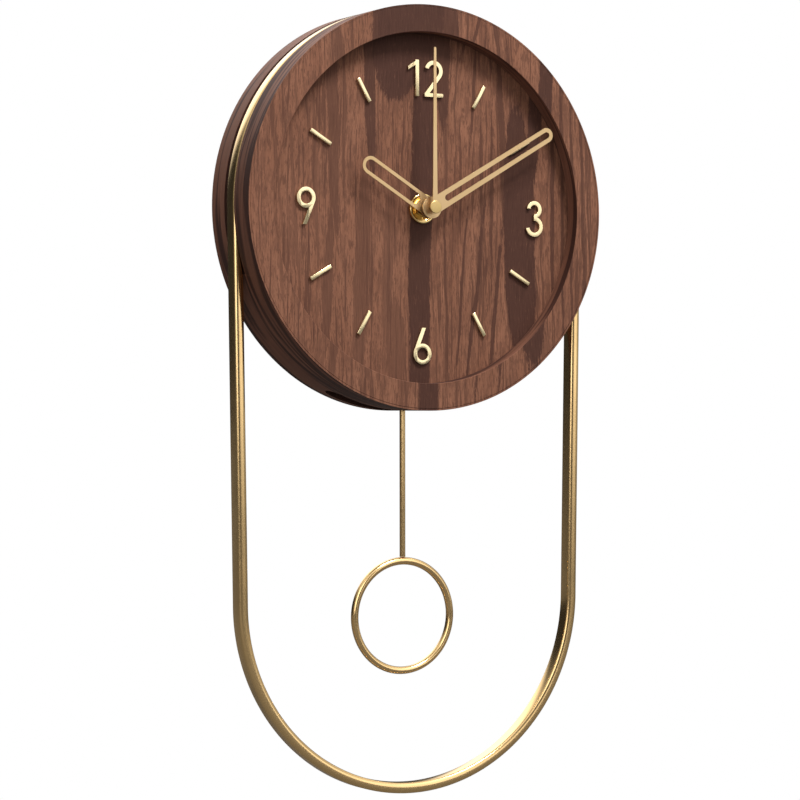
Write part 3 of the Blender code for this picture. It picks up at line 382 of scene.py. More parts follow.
def maths(tree, operation, *values):
    return node(tree, "ShaderNodeMath", dict(enumerate(values)), operation=operation).outputs[0]


def noise(tree, vector, scale, detail=3.0, rough=0.5, distortion=0.0):
    made = node(tree, "ShaderNodeTexNoise", {
        "Vector": vector, "Scale": scale, "Detail": detail, "Roughness": rough,
        "Distortion": distortion})
    return made.outputs[0]


def mapped(tree, vector, place=(0, 0, 0), turn=(0, 0, 0), scale=(1, 1, 1), kind="POINT"):
    made = node(tree, "ShaderNodeMapping", {"Vector": vector, "Location": place,
                                            "Rotation": turn, "Scale": scale}, vector_type=kind)
    return made.outputs[0]


def ramp(tree, value, low, high, to=(0.0, 1.0)):
    made = node(tree, "ShaderNodeMapRange", {
        "Value": value, "From Min": low, "From Max": high, "To Min": to[0], "To Max": to[1]},
        interpolation_type="SMOOTHSTEP")
    return made.outputs[0]


def mixed(tree, share, first, second, blend="MIX"):
    """Mix two colours; each is a socket or three numbers."""
    first, second = (value if isinstance(value, bpy.types.NodeSocket) else (*value, 1.0)
                     for value in (first, second))
    made = node(tree, "ShaderNodeMix", data_type="RGBA", blend_type=blend)
    return feed(tree, made, {0: share, 6: first, 7: second}).outputs[2]


def new_group(name, inputs, outputs):
    tree = bpy.data.node_groups.new(name, "ShaderNodeTree")
    for label, kind, value in inputs:
        socket = tree.interface.new_socket(label, in_out="INPUT", socket_type=kind)
        if value is not None:
            socket.default_value = value
    for label, kind in outputs:
        tree.interface.new_socket(label, in_out="OUTPUT", socket_type=kind)
    return tree, tree.nodes.new("NodeGroupInput"), tree.nodes.new("NodeGroupOutput")


FLOAT = "NodeSocketFloat"
VECTOR = "NodeSocketVector"


def new_material(name):
    made = bpy.data.materials.new(name)
    made.use_nodes = True
    tree = made.node_tree
    place = node(tree, "ShaderNodeTexCoord").outputs["Object"]
    return made, tree, tree.nodes["Principled BSDF"], place


def placed(tree, group, inputs):
    return node(tree, "ShaderNodeGroup", inputs, node_tree=group)


def bumped(tree, shader, height, distance):
    made = node(tree, "ShaderNodeBump", {"Height": height, "Distance": distance})
    tree.links.new(made.outputs[0], shader.inputs["Normal"])


# ---- wood --------------------------------------------------------------------------------
# Dark streaks of the veneer, in mm on the face: across, along, half width, half length,
# lean in degrees, strength.
STREAKS = (
    (0, -10, 9.5, 330, -1.2, 1.0),
    (-21, 136, 23, 60, 0, 1.0),
    (17, 122, 6.5, 68, 2, 0.9),
    (20, 30, 1.8, 60, 0, 0.55),
    (-42, 92, 4.5, 75, 2, 0.9),
    (-49, -48, 6, 78, -2, 0.55),
    (-28, -42, 4.5, 62, -2, 0.45),
    (-21, -100, 8, 34, 0, 0.5),
    (83.5, -18, 14.5, 98, 2, 1.0),
    (98, 84, 6, 66, -3, 1.0),
    (68, 50, 3, 75, 2, 0.8),
    (33, 20, 1.2, 42, 0, 0.7),
    (44, 92, 1.5, 48, -4, 0.8),
    (51, 24, 1.4, 46, 2, 0.75),
    (59, 10, 1.5, 66, 0, 0.8),
    (21, -62, 1.1, 70, 1, 0.75),
    (35, -58, 1.3, 66, -5, 0.85),
    (46, -64, 1.5, 80, -7, 0.9),
    (62, -72, 1.7, 66, -5, 0.9),
    (54, -42, 1.4, 8, -8, 0.8),
    (56, 128, 2, 26, 8, 0.8),
    (39, 132, 1.6, 24, -18, 0.8),
    (112, 12, 1.8, 120, 0.5, 0.85),
    (121, -10, 1.3, 130, 0.5, 0.8),
    (129.5, 10, 1.5, 110, 0.8, 0.8),
    (135, -20, 1.0, 90, 0.8, 0.7),
    (-72, 55, 5, 78, 3, 0.65),
    (-63, 70, 1.6, 70, 1, 0.6),
    (-77, -66, 4, 70, -4, 0.6),
    (-86, 20, 1.4, 90, 2, 0.5),
    (-103, 10, 1.2, 110, 4, 0.45),
    (-112, -20, 1.0, 100, 5, 0.4),
    (-122, 0, 1.4, 90, 3, 0.45),
)


def make_streak_group():
    """Dark figure of the veneer over a face whose grain runs upright."""
    tree, given, out = new_group("veneer_figure", [("Point", VECTOR, None)],
                                 [("Dark", FLOAT), ("Hair", FLOAT), ("Tone", FLOAT)])
    point = given.outputs["Point"]
    slow = noise(tree, mapped(tree, point, scale=(0.035, 0.011, 1)), 1.0, 2.0)
    sway = maths(tree, "MULTIPLY", maths(tree, "SUBTRACT", slow, 0.5), 9.0)
    shift = node(tree, "ShaderNodeCombineXYZ", {"X": sway}).outputs[0]
    bent = node(tree, "ShaderNodeVectorMath", {0: point, 1: shift}, operation="ADD").outputs[0]
    hair = noise(tree, mapped(tree, bent, scale=(1.9, 0.06, 1)), 1.0, 4.0, 0.7)
    ragged = noise(tree, mapped(tree, bent, scale=(0.55, 0.16, 1)), 1.0, 6.0, 0.75)
    edge = maths(tree, "ADD", maths(tree, "MULTIPLY", maths(tree, "SUBTRACT", hair, 0.5), 1.3),
                 maths(tree, "MULTIPLY", maths(tree, "SUBTRACT", ragged, 0.5), 1.8))
    dark = 0.0
    for across, along, half_w, half_l, lean, strength in STREAKS:
        local = mapped(tree, bent, (across, along, 0), (0, 0, math.radians(lean)),
                       (half_w, half_l, 1), "TEXTURE")
        away = node(tree, "ShaderNodeVectorMath", {0: local}, operation="LENGTH").outputs["Value"]
        loose = maths(tree, "MULTIPLY_ADD", edge, min(1.0, 2.2 / half_w) * 0.75 + 0.12, away)
        blur = min(0.4, 0.06 + 0.5 / half_w)
        dark = maths(tree, "MAXIMUM", dark, ramp(tree, loose, 1 + blur / 2, 1 - blur / 2,
                                                 (0.0, strength)))
    lines = noise(tree, mapped(tree, bent, scale=(0.42, 0.010, 1)), 1.0, 3.0, 0.6)
    lines = maths(tree, "MULTIPLY_ADD", edge, 0.06, lines)
    lines = ramp(tree, lines, 0.55, 0.585, (0.0, 0.68))
    clouds = noise(tree, mapped(tree, bent, scale=(0.11, 0.022, 1)), 1.0, 5.0, 0.75)
    clouds = maths(tree, "MULTIPLY_ADD", edge, 0.16, clouds)
    clouds = ramp(tree, clouds, 0.49, 0.60, (0.0, 0.42))
    fleck = noise(tree, mapped(tree, bent, scale=(0.62, 0.085, 1)), 1.0, 3.0, 0.6)
    fleck = ramp(tree, fleck, 0.53, 0.58, (0.0, 0.5))
    pores = noise(tree, mapped(tree, bent, scale=(1.25, 0.16, 1)), 1.0, 2.0, 0.5)
    fleck = maths(tree, "MAXIMUM", fleck, ramp(tree, pores, 0.585, 0.64, (0.0, 0.6)))
    lines = maths(tree, "MAXIMUM", lines, maths(tree, "MAXIMUM", clouds, fleck))
    dark = maths(tree, "MAXIMUM", dark, lines)
    pale = noise(tree, mapped(tree, bent, scale=(0.9, 0.10, 1)), 1.0, 5.0, 0.8)
    pale = ramp(tree, pale, 0.56, 0.66, (0.0, 0.3))
    dark = maths(tree, "SUBTRACT", dark, maths(tree, "MULTIPLY", dark, pale))
    tone = noise(tree, mapped(tree, bent, scale=(0.05, 0.012, 1)), 1.0, 3.0)
    for label, value in (("Dark", dark), ("Hair", hair), ("Tone", tone)):
        tree.links.new(value, out.inputs[label])
    return tree


LIGHT_WOOD = (0.240, 0.106, 0.063)
WARM_WOOD = (0.204, 0.087, 0.051)
DARK_WOOD = (0.070, 0.030, 0.021)


def veneer_colour(tree, dark, hair, tone, light=LIGHT_WOOD, warm=WARM_WOOD, deep=DARK_WOOD):
    base = mixed(tree, ramp(tree, tone, 0.3, 0.7), light, warm)
    base = mixed(tree, dark, base, deep)
    shade = ramp(tree, hair, 0.28, 0.72, (0.74, 1.16))
    grey = node(tree, "ShaderNodeCombineColor", {0: shade, 1: shade, 2: shade}).outputs[0]
    return mixed(tree, 1.0, base, grey, "MULTIPLY")


def make_face_wood(figure):
    """Walnut veneer on the front board and dial, grain upright."""
    made, tree, shader, place = new_material("walnut_face")
    centred = mapped(tree, place, (0, -AXIS_Z / MM, 0), (math.radians(-90), 0, 0),
                     (1 / MM, 0, 1 / MM))
    found = placed(tree, figure, {"Point": centred})
    dark, hair, tone = (found.outputs[k] for k in ("Dark", "Hair", "Tone"))
    colour = veneer_colour(tree, dark, hair, tone)
    tree.links.new(colour, shader.inputs["Base Color"])
    tree.links.new(ramp(tree, hair, 0.2, 0.8, (0.58, 0.7)), shader.inputs["Roughness"])
    shader.inputs["Specular IOR Level"].default_value = 0.1
    height = maths(tree, "SUBTRACT", hair, maths(tree, "MULTIPLY", dark, 0.35))
    bumped(tree, shader, height, 0.05 * MM)
    return made


def make_wrap_wood(name, light, warm, deep, rough, specular):
    """The same veneer wrapped round the drum, its grain running round the rim."""
    made, tree, shader, place = new_material(name)
    centred = mapped(tree, place, place=(0, 0, -AXIS_Z))
    slow = noise(tree, mapped(tree, centred, scale=(9, 30, 9)), 1.0, 2.0)
    sway = maths(tree, "MULTIPLY", maths(tree, "SUBTRACT", slow, 0.5), 0.012)
    shift = node(tree, "ShaderNodeCombineXYZ", {"Y": sway}).outputs[0]
    bent = node(tree, "ShaderNodeVectorMath", {0: centred, 1: shift}, operation="ADD").outputs[0]
    hair = noise(tree, mapped(tree, bent, scale=(42, 1500, 42)), 1.0, 4.0, 0.65)
    broad = noise(tree, mapped(tree, bent, scale=(5, 105, 5)), 1.0, 3.0, 0.55)
    loose = maths(tree, "MULTIPLY_ADD", maths(tree, "SUBTRACT", hair, 0.5), 0.16, broad)
    dark = ramp(tree, loose, 0.47, 0.56)
    tone = noise(tree, mapped(tree, bent, scale=(8, 40, 8)), 1.0, 2.0)
    colour = veneer_colour(tree, dark, hair, tone, light, warm, deep)
    tree.links.new(colour, shader.inputs["Base Color"])
    tree.links.new(ramp(tree, hair, 0.2, 0.8, rough), shader.inputs["Roughness"])
    shader.inputs["Specular IOR Level"].default_value = specular
    bumped(tree, shader, hair, 0.04 * MM)
    return made


# ---- metals and the rest -----------------------------------------------------------------
def make_wear_group():
    """Fine scratches and faint smudges for metal."""
    tree, given, out = new_group("metal_wear", [("Point", VECTOR, None), ("Fine", FLOAT, 900.0)],
                                 [("Scratch", FLOAT), ("Smudge", FLOAT)])
    point = given.outputs["Point"]
    long_way = mapped(tree, point, scale=(1, 1, 0.06))
    scratch = node(tree, "ShaderNodeTexNoise", {"Vector": long_way, "Scale": given.outputs["Fine"],
                                                "Detail": 3.0, "Roughness": 0.6}).outputs[0]
    smudge = noise(tree, point, 28.0, 3.0)
    tree.links.new(scratch, out.inputs["Scratch"])
    tree.links.new(smudge, out.inputs["Smudge"])
    return tree


def make_metal(name, wear, colour, shade, rough, fine=900.0, scratch_depth=0.004):
    """Metal with two close colours, and roughness that wanders between two values."""
    made, tree, shader, place = new_material(name)
    found = placed(tree, wear, {"Point": place, "Fine": fine})
    smudge = ramp(tree, found.outputs["Smudge"], 0.3, 0.7)
    tree.links.new(mixed(tree, smudge, colour, shade), shader.inputs["Base Color"])
    uneven = maths(tree, "MULTIPLY_ADD", found.outputs["Scratch"], 0.35, smudge)
    tree.links.new(ramp(tree, uneven, 0.0, 1.35, rough), shader.inputs["Roughness"])
    shader.inputs["Metallic"].default_value = 1.0
    if scratch_depth:
        bumped(tree, shader, found.outputs["Scratch"], scratch_depth * MM)
    return made


def make_plastic(name, colour, shade, rough, grain=1400.0, grain_depth=0.02):
    """Moulded plastic or rubber with a fine spark-eroded texture."""
    made, tree, shader, place = new_material(name)
    fine = noise(tree, place, grain, 2.0)
    slow = noise(tree, place, 35.0, 3.0)
    tree.links.new(mixed(tree, ramp(tree, slow, 0.3, 0.7), colour, shade),
                   shader.inputs["Base Color"])
    tree.links.new(ramp(tree, fine, 0.3, 0.7, rough), shader.inputs["Roughness"])
    bumped(tree, shader, fine, grain_depth * MM)
    return made


def make_board():
    """Raw fibreboard: pale brown with pressed fibres."""
    made, tree, shader, place = new_material("fibreboard")
    fibres = noise(tree, place, 520.0, 5.0, 0.7, 0.6)
    patches = noise(tree, place, 30.0, 3.0)
    base = mixed(tree, ramp(tree, patches, 0.3, 0.7), (0.36, 0.235, 0.135), (0.29, 0.185, 0.105))
    colour = mixed(tree, ramp(tree, fibres, 0.52, 0.7), base, (0.17, 0.10, 0.055))
    tree.links.new(colour, shader.inputs["Base Color"])
    tree.links.new(ramp(tree, fibres, 0.3, 0.7, (0.7, 0.9)), shader.inputs["Roughness"])
    bumped(tree, shader, fibres, 0.08 * MM)
    return made


def make_softwood():
    """Pale planed wood with straight grain along X."""
    made, tree, shader, place = new_material("pale_wood")
    rings = noise(tree, mapped(tree, place, scale=(12, 260, 260)), 1.0, 3.0, 0.5, 0.4)
    hair = noise(tree, mapped(tree, place, scale=(60, 1500, 1500)), 1.0, 3.0)
    base = mixed(tree, ramp(tree, rings, 0.42, 0.62), (0.52, 0.34, 0.18), (0.36, 0.21, 0.10))
    colour = mixed(tree, ramp(tree, hair, 0.5, 0.75, (0.0, 0.5)), base, (0.25, 0.14, 0.07))
    tree.links.new(colour, shader.inputs["Base Color"])
    shader.inputs["Roughness"].default_value = 0.7
    bumped(tree, shader, hair, 0.05 * MM)
    return made


def make_winding(name, colour, shade, pitch):
    """Enamelled wire laid side by side along X."""
    made, tree, shader, place = new_material(name)
    wave = node(tree, "ShaderNodeTexWave", {"Vector": place, "Scale": pitch, "Distortion": 0.6,
                                            "Detail": 1.0}, bands_direction="X").outputs[1]
    tree.links.new(mixed(tree, wave, shade, colour), shader.inputs["Base Color"])
    shader.inputs["Roughness"].default_value = 0.3
    shader.inputs["Metallic"].default_value = 0.8
    bumped(tree, shader, wave, 0.08 * MM)
    return made


FIGURE = make_streak_group()
WEAR = make_wear_group()
FACE_WOOD = make_face_wood(FIGURE)
WRAP_WOOD = make_wrap_wood("walnut_wrap", (0.215, 0.095, 0.060), (0.165, 0.070, 0.045),
                           (0.060, 0.026, 0.019), (0.5, 0.66), 0.12)
# A much darker copy of the wrap veneer for the drum's inside, its groove and its slot: painted
# shade on those recessed faces.
PAINTED_SHADE_WOOD = make_wrap_wood("walnut_inside_painted_shade", (0.050, 0.021, 0.015), (0.042, 0.018, 0.013),
                            (0.028, 0.012, 0.009), (0.7, 0.85), 0.1)
BRASS = make_metal("polished_brass", WEAR, (0.83, 0.575, 0.27), (0.79, 0.535, 0.245), (0.16, 0.20),
                   900.0, 0.0)
BRIGHT_BRASS = make_metal("bright_brass", WEAR, (0.92, 0.68, 0.30), (0.88, 0.62, 0.25),
                          (0.10, 0.18))
GOLD = make_metal("pale_gold", WEAR, (0.92, 0.76, 0.46), (0.90, 0.73, 0.42), (0.22, 0.3), 1600.0)
SATIN = make_metal("champagne_satin", WEAR, (0.67, 0.47, 0.25), (0.65, 0.45, 0.23), (0.40, 0.46),
                   2200.0, 0.003)
CAP = make_metal("cap_brass", WEAR, (0.66, 0.47, 0.20), (0.62, 0.44, 0.18), (0.34, 0.4),
                 2200.0, 0.003)
STEEL = make_metal("zinc_plate", WEAR, (0.62, 0.62, 0.60), (0.52, 0.53, 0.52), (0.28, 0.42))
BLACK = make_plastic("black_plastic", (0.018, 0.018, 0.02), (0.026, 0.026, 0.028), (0.38, 0.55))
WHITE = make_plastic("natural_plastic", (0.74, 0.73, 0.68), (0.68, 0.66, 0.6), (0.35, 0.5))
RUBBER = make_plastic("black_rubber", (0.014, 0.014, 0.014), (0.03, 0.03, 0.03), (0.7, 0.9))
SLEEVE = make_plastic("cell_sleeve", (0.05, 0.07, 0.10), (0.06, 0.08, 0.12), (0.22, 0.3), 300.0)
GREEN = make_plastic("circuit_green", (0.02, 0.16, 0.06), (0.03, 0.22, 0.09), (0.25, 0.4), 500.0)
BOARD = make_board()
SOFTWOOD = make_softwood()
COPPER = make_winding("copper_winding", (0.75, 0.33, 0.16), (0.28, 0.09, 0.04), 900.0)


# ---- drum --------------------------------------------------------------------------------
def make_wall():
    """Drum wall: veneered ring with the groove for the loop and the pendulum's slot; its inside,
    groove and slot carry painted shade.
    """
    inner_r = CASE_R - WALL_T
    shoulder = span("dial_panel")[1] + GAP
    wall = disc("drum_wall", CASE_R, (FRONT_Y, REAR_Y))
    over = 5 * MM
    cut(wall, disc("bore", inner_r, (FRONT_Y - over, REAR_Y + over)),
        disc("front_step", CASE_R - LIP, (FRONT_Y - over, shoulder)),
        disc("rear_step", REAR_STEP_R, (depth(REAR_STEP), REAR_Y + over)))
    far = CASE_R + 10 * MM
    groove = block("groove", (-far, far), (depth(GROOVE[0]), depth(GROOVE[1])),
                   (AXIS_Z - far, AXIS_Z + far))
    in_from_bar = BAR_W / 2 + GAP
    core = stadium("core", LOOP_TOP_R - in_from_bar, LOOP_BOTTOM_R - in_from_bar, AXIS_Z,
                   AXIS_Z - LOOP_DROP, (depth(0), depth(60 * MM)), sides=SMOOTH)
    cut(groove, core)
    cut(wall, groove)
    half = (SLOT[1] - SLOT[0]) / 2
    deselect()
    bpy.ops.mesh.primitive_cylinder_add(vertices=48, radius=half, depth=60 * MM, location=(
        0, depth(sum(SLOT) / 2), AXIS_Z - CASE_R))
    slot_tool = named("slot_tool")
    pick(slot_tool, lambda co: co.x > HAIR)
    bpy.ops.transform.translate(value=(SLOT_HALF - half, 0, 0))
    pick(slot_tool, lambda co: co.x < HAIR)
    bpy.ops.transform.translate(value=(half - SLOT_HALF, 0, 0))
    leave()
    cut(wall, slot_tool)
    soft_edges(wall, 0.35 * MM, 2)
    finished(wall, WRAP_WOOD, CASE, "walnut", "case_wall")
    rim = 0.3 * MM
    second_finish(wall, FACE_WOOD, lambda y, least, most: y < FRONT_Y + rim)
    # Faces inside the drum, in the groove and in the slot take the much darker veneer: painted
    # shade.
    second_finish(wall, PAINTED_SHADE_WOOD, lambda y, least, most: (
        least < CASE_R - 2 * rim and FRONT_Y + rim < y < REAR_Y - rim))


def make_board_and_dial():
    board_r = CASE_R - LIP - 0.1 * MM
    y = span("front_ring")
    board = disc("front_board", board_r, y)
    cut(board, disc("opening", OPENING_R, past(y)))
    soft_edges(board, 0.4 * MM, 3)
    finished(board, FACE_WOOD, CASE, "walnut", "front_ring")
    second_finish(board, WRAP_WOOD, lambda y, least, most: most < OPENING_R + 0.1 * MM)
    y = span("dial_panel")
    dial = disc("dial", board_r, y)
    cut(dial, disc("hole", 4.3 * MM, past(y), sides=ROUND))
    finished(dial, FACE_WOOD, CASE, "walnut", "dial_panel")


def make_bar():
    """The brass bar: a rounded section carried over the drum, down, round and up again."""
    low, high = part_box("frame_bar")
    bar_y = (low.y + high.y) / 2
    obj = section("brass_loop", BAR_W, high.y - low.y, BAR_CORNER, (0, bar_y, AXIS_Z), LOOP_TOP_R)
    dome_section(low.y, BAR_W / 2, LOOP_TOP_R)
    lean = LOOP_TOP_R - LOOP_BOTTOM_R
    bend((0, bar_y, AXIS_Z), 180, BEND_STEPS)
    run((lean, 0, -LOOP_DROP))
    bend((0, bar_y, AXIS_Z - LOOP_DROP), 180, BEND_STEPS)
    run((lean, 0, LOOP_DROP))
    sealed()
    return finished(obj, BRASS, CASE, "polished_brass", "frame_bar", flats=False)


# ---- dial marks --------------------------------------------------------------------------
MARK_R = 95.3 * MM
MARK_LEN = 19.0 * MM
MARK_W = 3.0 * MM
STROKE = 2.9 * MM
NUMERAL_H = 26.2 * MM
MARK_EDGE = 0.5 * MM
CURL_STEPS = 28


def make_batons():
    y = span("baton_01")
    model = block("baton", (-MARK_W / 2, MARK_W / 2), y,
                  (AXIS_Z + MARK_R - MARK_LEN / 2, AXIS_Z + MARK_R + MARK_LEN / 2))
    soft_edges(model, MARK_EDGE, 3)
    for hour in (1, 2, 4, 5, 7, 8, 10, 11):
        baton = turn_on_dial(copied(model, "mark_%02d" % hour), 30 * hour)
        finished(baton, GOLD, CASE, "satin_gold", "baton_%02d" % hour, flats=False)
    bpy.data.objects.remove(model, do_unlink=True)


def bar_between(name, start, end, width, y, over=0.0):
    """A straight bar of a numeral between two (x, z) points."""
    dx, dz = end[0] - start[0], end[1] - start[1]
    size = math.hypot(dx, dz)
    obj = block(name, (-width / 2, width / 2), y, (-over, size + over))
    turn = Matrix.Rotation(math.atan2(dx, dz), 4, "Y")
    obj.matrix_world = Matrix.Translation((start[0], 0, start[1])) @ turn
    only(obj)
    bpy.ops.object.transform_apply(location=True, rotation=True, scale=True)
    return obj


def curl(name, centre, radius, start, sweep, y):
    """Part of a ring: degrees anticlockwise from +X at the start, clockwise sweep."""
    middle_of = (centre[0], sum(y) / 2, centre[1])
    obj = section(name, STROKE, y[1] - y[0], 0.02 * MM, middle_of, radius, start, 1)
    bend(middle_of, -sweep, CURL_STEPS)
    sealed()
    return obj


def numeral(obj, node_name):
    soft_edges(obj, MARK_EDGE, 3, 40)
    return finished(obj, GOLD, CASE, "satin_gold", node_name, flats=False)


def make_twelve():
    """Two separate figures: a one with its flag, and a two of an arc, an arm and a foot."""
    thick = STROKE / 2
    low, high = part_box("numeral_12_one")
    y = span("numeral_12_one")
    one = block("figure_12_one", (high.x - STROKE, high.x), y, (low.z, high.z))
    flag = bar_between("flag", (low.x - 2 * MM, high.z - 7.4 * MM),
                       (high.x - thick, high.z - 1.4 * MM), 2.4 * MM, y, 1 * MM)
    far = 20 * MM
    for trim_x, low_z in (((low.x - far, low.x), low.z), ((low.x - far, high.x + far), high.z),
                          ((high.x - thick, high.x + far), low.z)):
        cut(flag, block("trim", trim_x, past(y), (low_z, high.z + far)))
    join(one, flag)
    numeral(one, "numeral_12_one")

    low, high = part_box("numeral_12_two")
    y = span("numeral_12_two")
    bend_r = 7.4 * MM - thick
    top = ((low.x + high.x) / 2, high.z - thick - bend_r)
    two = curl("figure_12_two", top, bend_r, 165, 203, y)
    leave_at = math.radians(-38)
    arm_start = (top[0] + bend_r * math.cos(leave_at), top[1] + bend_r * math.sin(leave_at))
    foot = block("foot", (low.x + 0.2 * MM, high.x), y, (low.z, low.z + STROKE * 0.92))
    arm = bar_between("arm", (low.x + 1.4 * MM, low.z + thick), arm_start, STROKE, y, 0.4 * MM)
    cut(arm, block("trim", (low.x - 5 * MM, high.x), past(y),
                   (low.z - 5 * MM, low.z + 0.01 * MM)))
    join(two, arm, foot)
    numeral(two, "numeral_12_two")


def make_three():
    low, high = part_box("numeral_03")
    y = span("numeral_03")
    thick = STROKE / 2
    upper = 6.3 * MM - thick
    lower = 7.3 * MM - thick
    mid_x = high.x - thick - lower
    three = curl("figure_03", (mid_x, high.z - thick - upper), upper, 175, 270, y)
    join(three, curl("lower", (mid_x, low.z + thick + lower), lower, 95, 265, y))
    numeral(three, "numeral_03")


def make_six_and_nine():
    """A ring with a straight tail that leaves it as a tangent; the nine is a six turned over."""
    outer = 7.4 * MM
    mid = outer - STROKE / 2
    half = NUMERAL_H / 2
    for name, node_name in (("figure_06", "numeral_06"), ("figure_09", "numeral_09")):
        centre = middle(node_name)
        y = span(node_name)
        eye = (centre.x, centre.z - half + outer)
        obj = disc(name, outer, y, *eye, ROUND)
        cut(obj, disc("eye", outer - STROKE, past(y), *eye, ROUND))
        tip = (centre.x + 1.2 * MM, centre.z + half)
        reach = math.hypot(tip[0] - eye[0], tip[1] - eye[1])
        lean = math.atan2(tip[1] - eye[1], tip[0] - eye[0]) + math.acos(mid / reach)
        touch = (eye[0] + mid * math.cos(lean), eye[1] + mid * math.sin(lean))
        tail = bar_between("tail", touch, tip, STROKE, y, 1.2 * MM)
        far = 20 * MM
        cut(tail, block("trim", (centre.x - far, centre.x + far), past(y), (tip[1], tip[1] + far)),
            disc("trim_eye", mid, past(y), *eye, ROUND))
        join(obj, tail)
        if name == "figure_09":
            turn_on_dial(obj, 180, centre)
        numeral(obj, node_name)


# ---- hands -------------------------------------------------------------------------------
BLADE_EDGE = 0.12 * MM
BLADE_T = 0.8 * MM
COLLAR_IN = 0.2 * MM            # how far a collar starts inside its blade
# Length, width at the hub, width at the tip, hub radius.
HOUR_BLADE = (62 * MM, 13 * MM, 13 * MM, 7.4 * MM)
MINUTE_BLADE = (117.5 * MM, 11.8 * MM, 10.6 * MM, 7.8 * MM)
SECOND_BLADE = (114 * MM, 3.9 * MM, 1.9 * MM, 4.2 * MM)
# Where the window starts, how wide it is, and the metal left at the tip.
HOUR_WINDOW = (9.2 * MM, 8.3 * MM, 2.35 * MM)
MINUTE_WINDOW = (12.8 * MM, 4.6 * MM, 3.0 * MM)


def hand(name, node_name, blade, window, collar_r, bore_r, bore_sides=ROUND):
    """A bored hand pointing to twelve: blade, round hub, collar behind and a long window."""
    front, rear = span(node_name)
    y = (front, front + BLADE_T)
    length, width, tip_width, hub_r = blade
    obj = stadium(name, tip_width / 2, width / 2, AXIS_Z + length - tip_width / 2, AXIS_Z, y)
    join(obj, disc("hub", hub_r, y, sides=ROUND))
    if window:
        low_at, wide, rim = window
        cut(obj, stadium("window", wide / 2, wide / 2, AXIS_Z + length - rim - wide / 2,
                         AXIS_Z + low_at + wide / 2, past(y), sides=48))
    join(obj, disc("collar", collar_r, (front + COLLAR_IN, rear), sides=ROUND))
    cut(obj, disc("bore", bore_r, past((front, rear)), sides=bore_sides))
    return soft_edges(obj, BLADE_EDGE, 2)


def make_hands():
    hour = hand("hour_blade", "hour_hand", HOUR_BLADE, HOUR_WINDOW, 4.6 * MM, 2.75 * MM)
    turn_on_dial(hour, HOUR_ANGLE)
    finished(hour, SATIN, "hour_train", "satin_gold", "hour_hand")
    minute = hand("minute_blade", "minute_hand", MINUTE_BLADE, MINUTE_WINDOW, 6.8 * MM, 1.75 * MM)
    turn_on_dial(minute, MINUTE_ANGLE)
    finished(minute, SATIN, "minute_train", "satin_gold", "minute_hand")
    second = hand("second_blade", "second_hand", SECOND_BLADE, None, 2.2 * MM, 0.65 * MM, 32)
    finished(second, SATIN, "second_train", "satin_gold", "second_hand")

    y0, y1 = span("centre_cap")
    cap = turned("cap", [(4.4 * MM, y1), (4.6 * MM, y1 - 0.2 * MM), (4.6 * MM, y0 + 0.3 * MM),
                         (4.45 * MM, y0 + 0.1 * MM), (4.2 * MM, y0), (0.4 * MM, y0)])
    finished(cap, CAP, "second_train", "satin_gold", "centre_cap")


# Radius and distance from the front of the washer's dished face, from its edge to its bore.
DISH = ((10.8, 0.9), (10.6, 0.35), (10.2, 0.06), (9.7, 0.0), (9.2, 0.1), (8.6, 0.4),
        (7.8, 0.95), (6.9, 1.3), (6.0, 1.45), (4.35, 1.5))


def make_washer():
    y0, y1 = span("dial_washer")
    back = [(DISH[-1][0] * MM, y1), (10.4 * MM, y1), (10.7 * MM, y1 - 0.25 * MM),
            (10.8 * MM, y1 - 0.7 * MM)]
    front = [(radius * MM, y0 + rise * MM) for radius, rise in DISH]
    washer = turned("cup_washer", back + front, sides=128, closed=True)
    finished(washer, BRIGHT_BRASS, CASE, "polished_brass", "dial_washer")
    y0, y1 = span("hex_nut")
    nut = disc("nut", 11 * MM / math.sqrt(3), (y0, y1), sides=6)
    cut(nut, disc("bore", 4.3 * MM, past((y0, y1)), sides=ROUND))
    soft_edges(nut, 0.25 * MM, 2)
    finished(nut, BRIGHT_BRASS, CASE, "polished_brass", "hex_nut")


# ---- pendulum ----------------------------------------------------------------------------
def upright_rod(name, radius, z, at):
    deselect()
    bpy.ops.mesh.primitive_cylinder_add(vertices=ROUND, radius=radius, depth=z[1] - z[0],
                                        location=(at.x, at.y, (z[0] + z[1]) / 2))
    return named(name)


def make_pendulum():
    low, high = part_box("pendulum_rod")
    at = middle("pendulum_rod")
    stem = upright_rod("rod", (high.y - low.y) / 2, (low.z, high.z), at)
    soft_edges(stem, 0.3 * MM, 3)
    finished(stem, BRASS, "pendulum", "polished_brass", "pendulum_rod")
    low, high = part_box("pendulum_ring")
    tube = (high.y - low.y) / 2
    deselect()
    bpy.ops.mesh.primitive_torus_add(
        major_segments=192, minor_segments=40, major_radius=(high.z - low.z) / 2 - tube,
        minor_radius=tube, location=middle("pendulum_ring"), rotation=(math.pi / 2, 0, 0))
    ring = named("ring_bob")
    finished(ring, BRASS, "pendulum", "polished_brass", "pendulum_ring", angle=180)


def refined(node_name, material, edge=0.0):
    """A merged copy of a CAD node, its flat faces whole again and its edges rounded."""
    source = frame["nodes"][node_name]
    obj = source.copy()
    obj.data = source.data.copy()
    obj.name = "smooth_" + node_name
    obj.data.name = obj.name
    obj.parent = None
    obj.matrix_world = source.matrix_world
    bpy.context.scene.collection.objects.link(obj)
    for key in list(obj.keys()):
        del obj[key]
    only(obj)
    bpy.ops.object.transform_apply(location=True, rotation=True, scale=True)
    bpy.ops.object.mode_set(mode="EDIT")
    bpy.ops.mesh.select_all(action="SELECT")
    bpy.ops.mesh.remove_doubles(threshold=TOUCH)
    bpy.ops.mesh.dissolve_limited(angle_limit=math.radians(1))
    bpy.ops.mesh.normals_make_consistent(inside=False)
    leave()
    if edge:
        modified(obj, "BEVEL", width=edge, segments=2, limit_method="ANGLE",
                 angle_limit=math.radians(40), use_clamp_overlap=True)
    return finished(obj, material, BODY[node_name], SLOT_NAME[node_name], node_name)


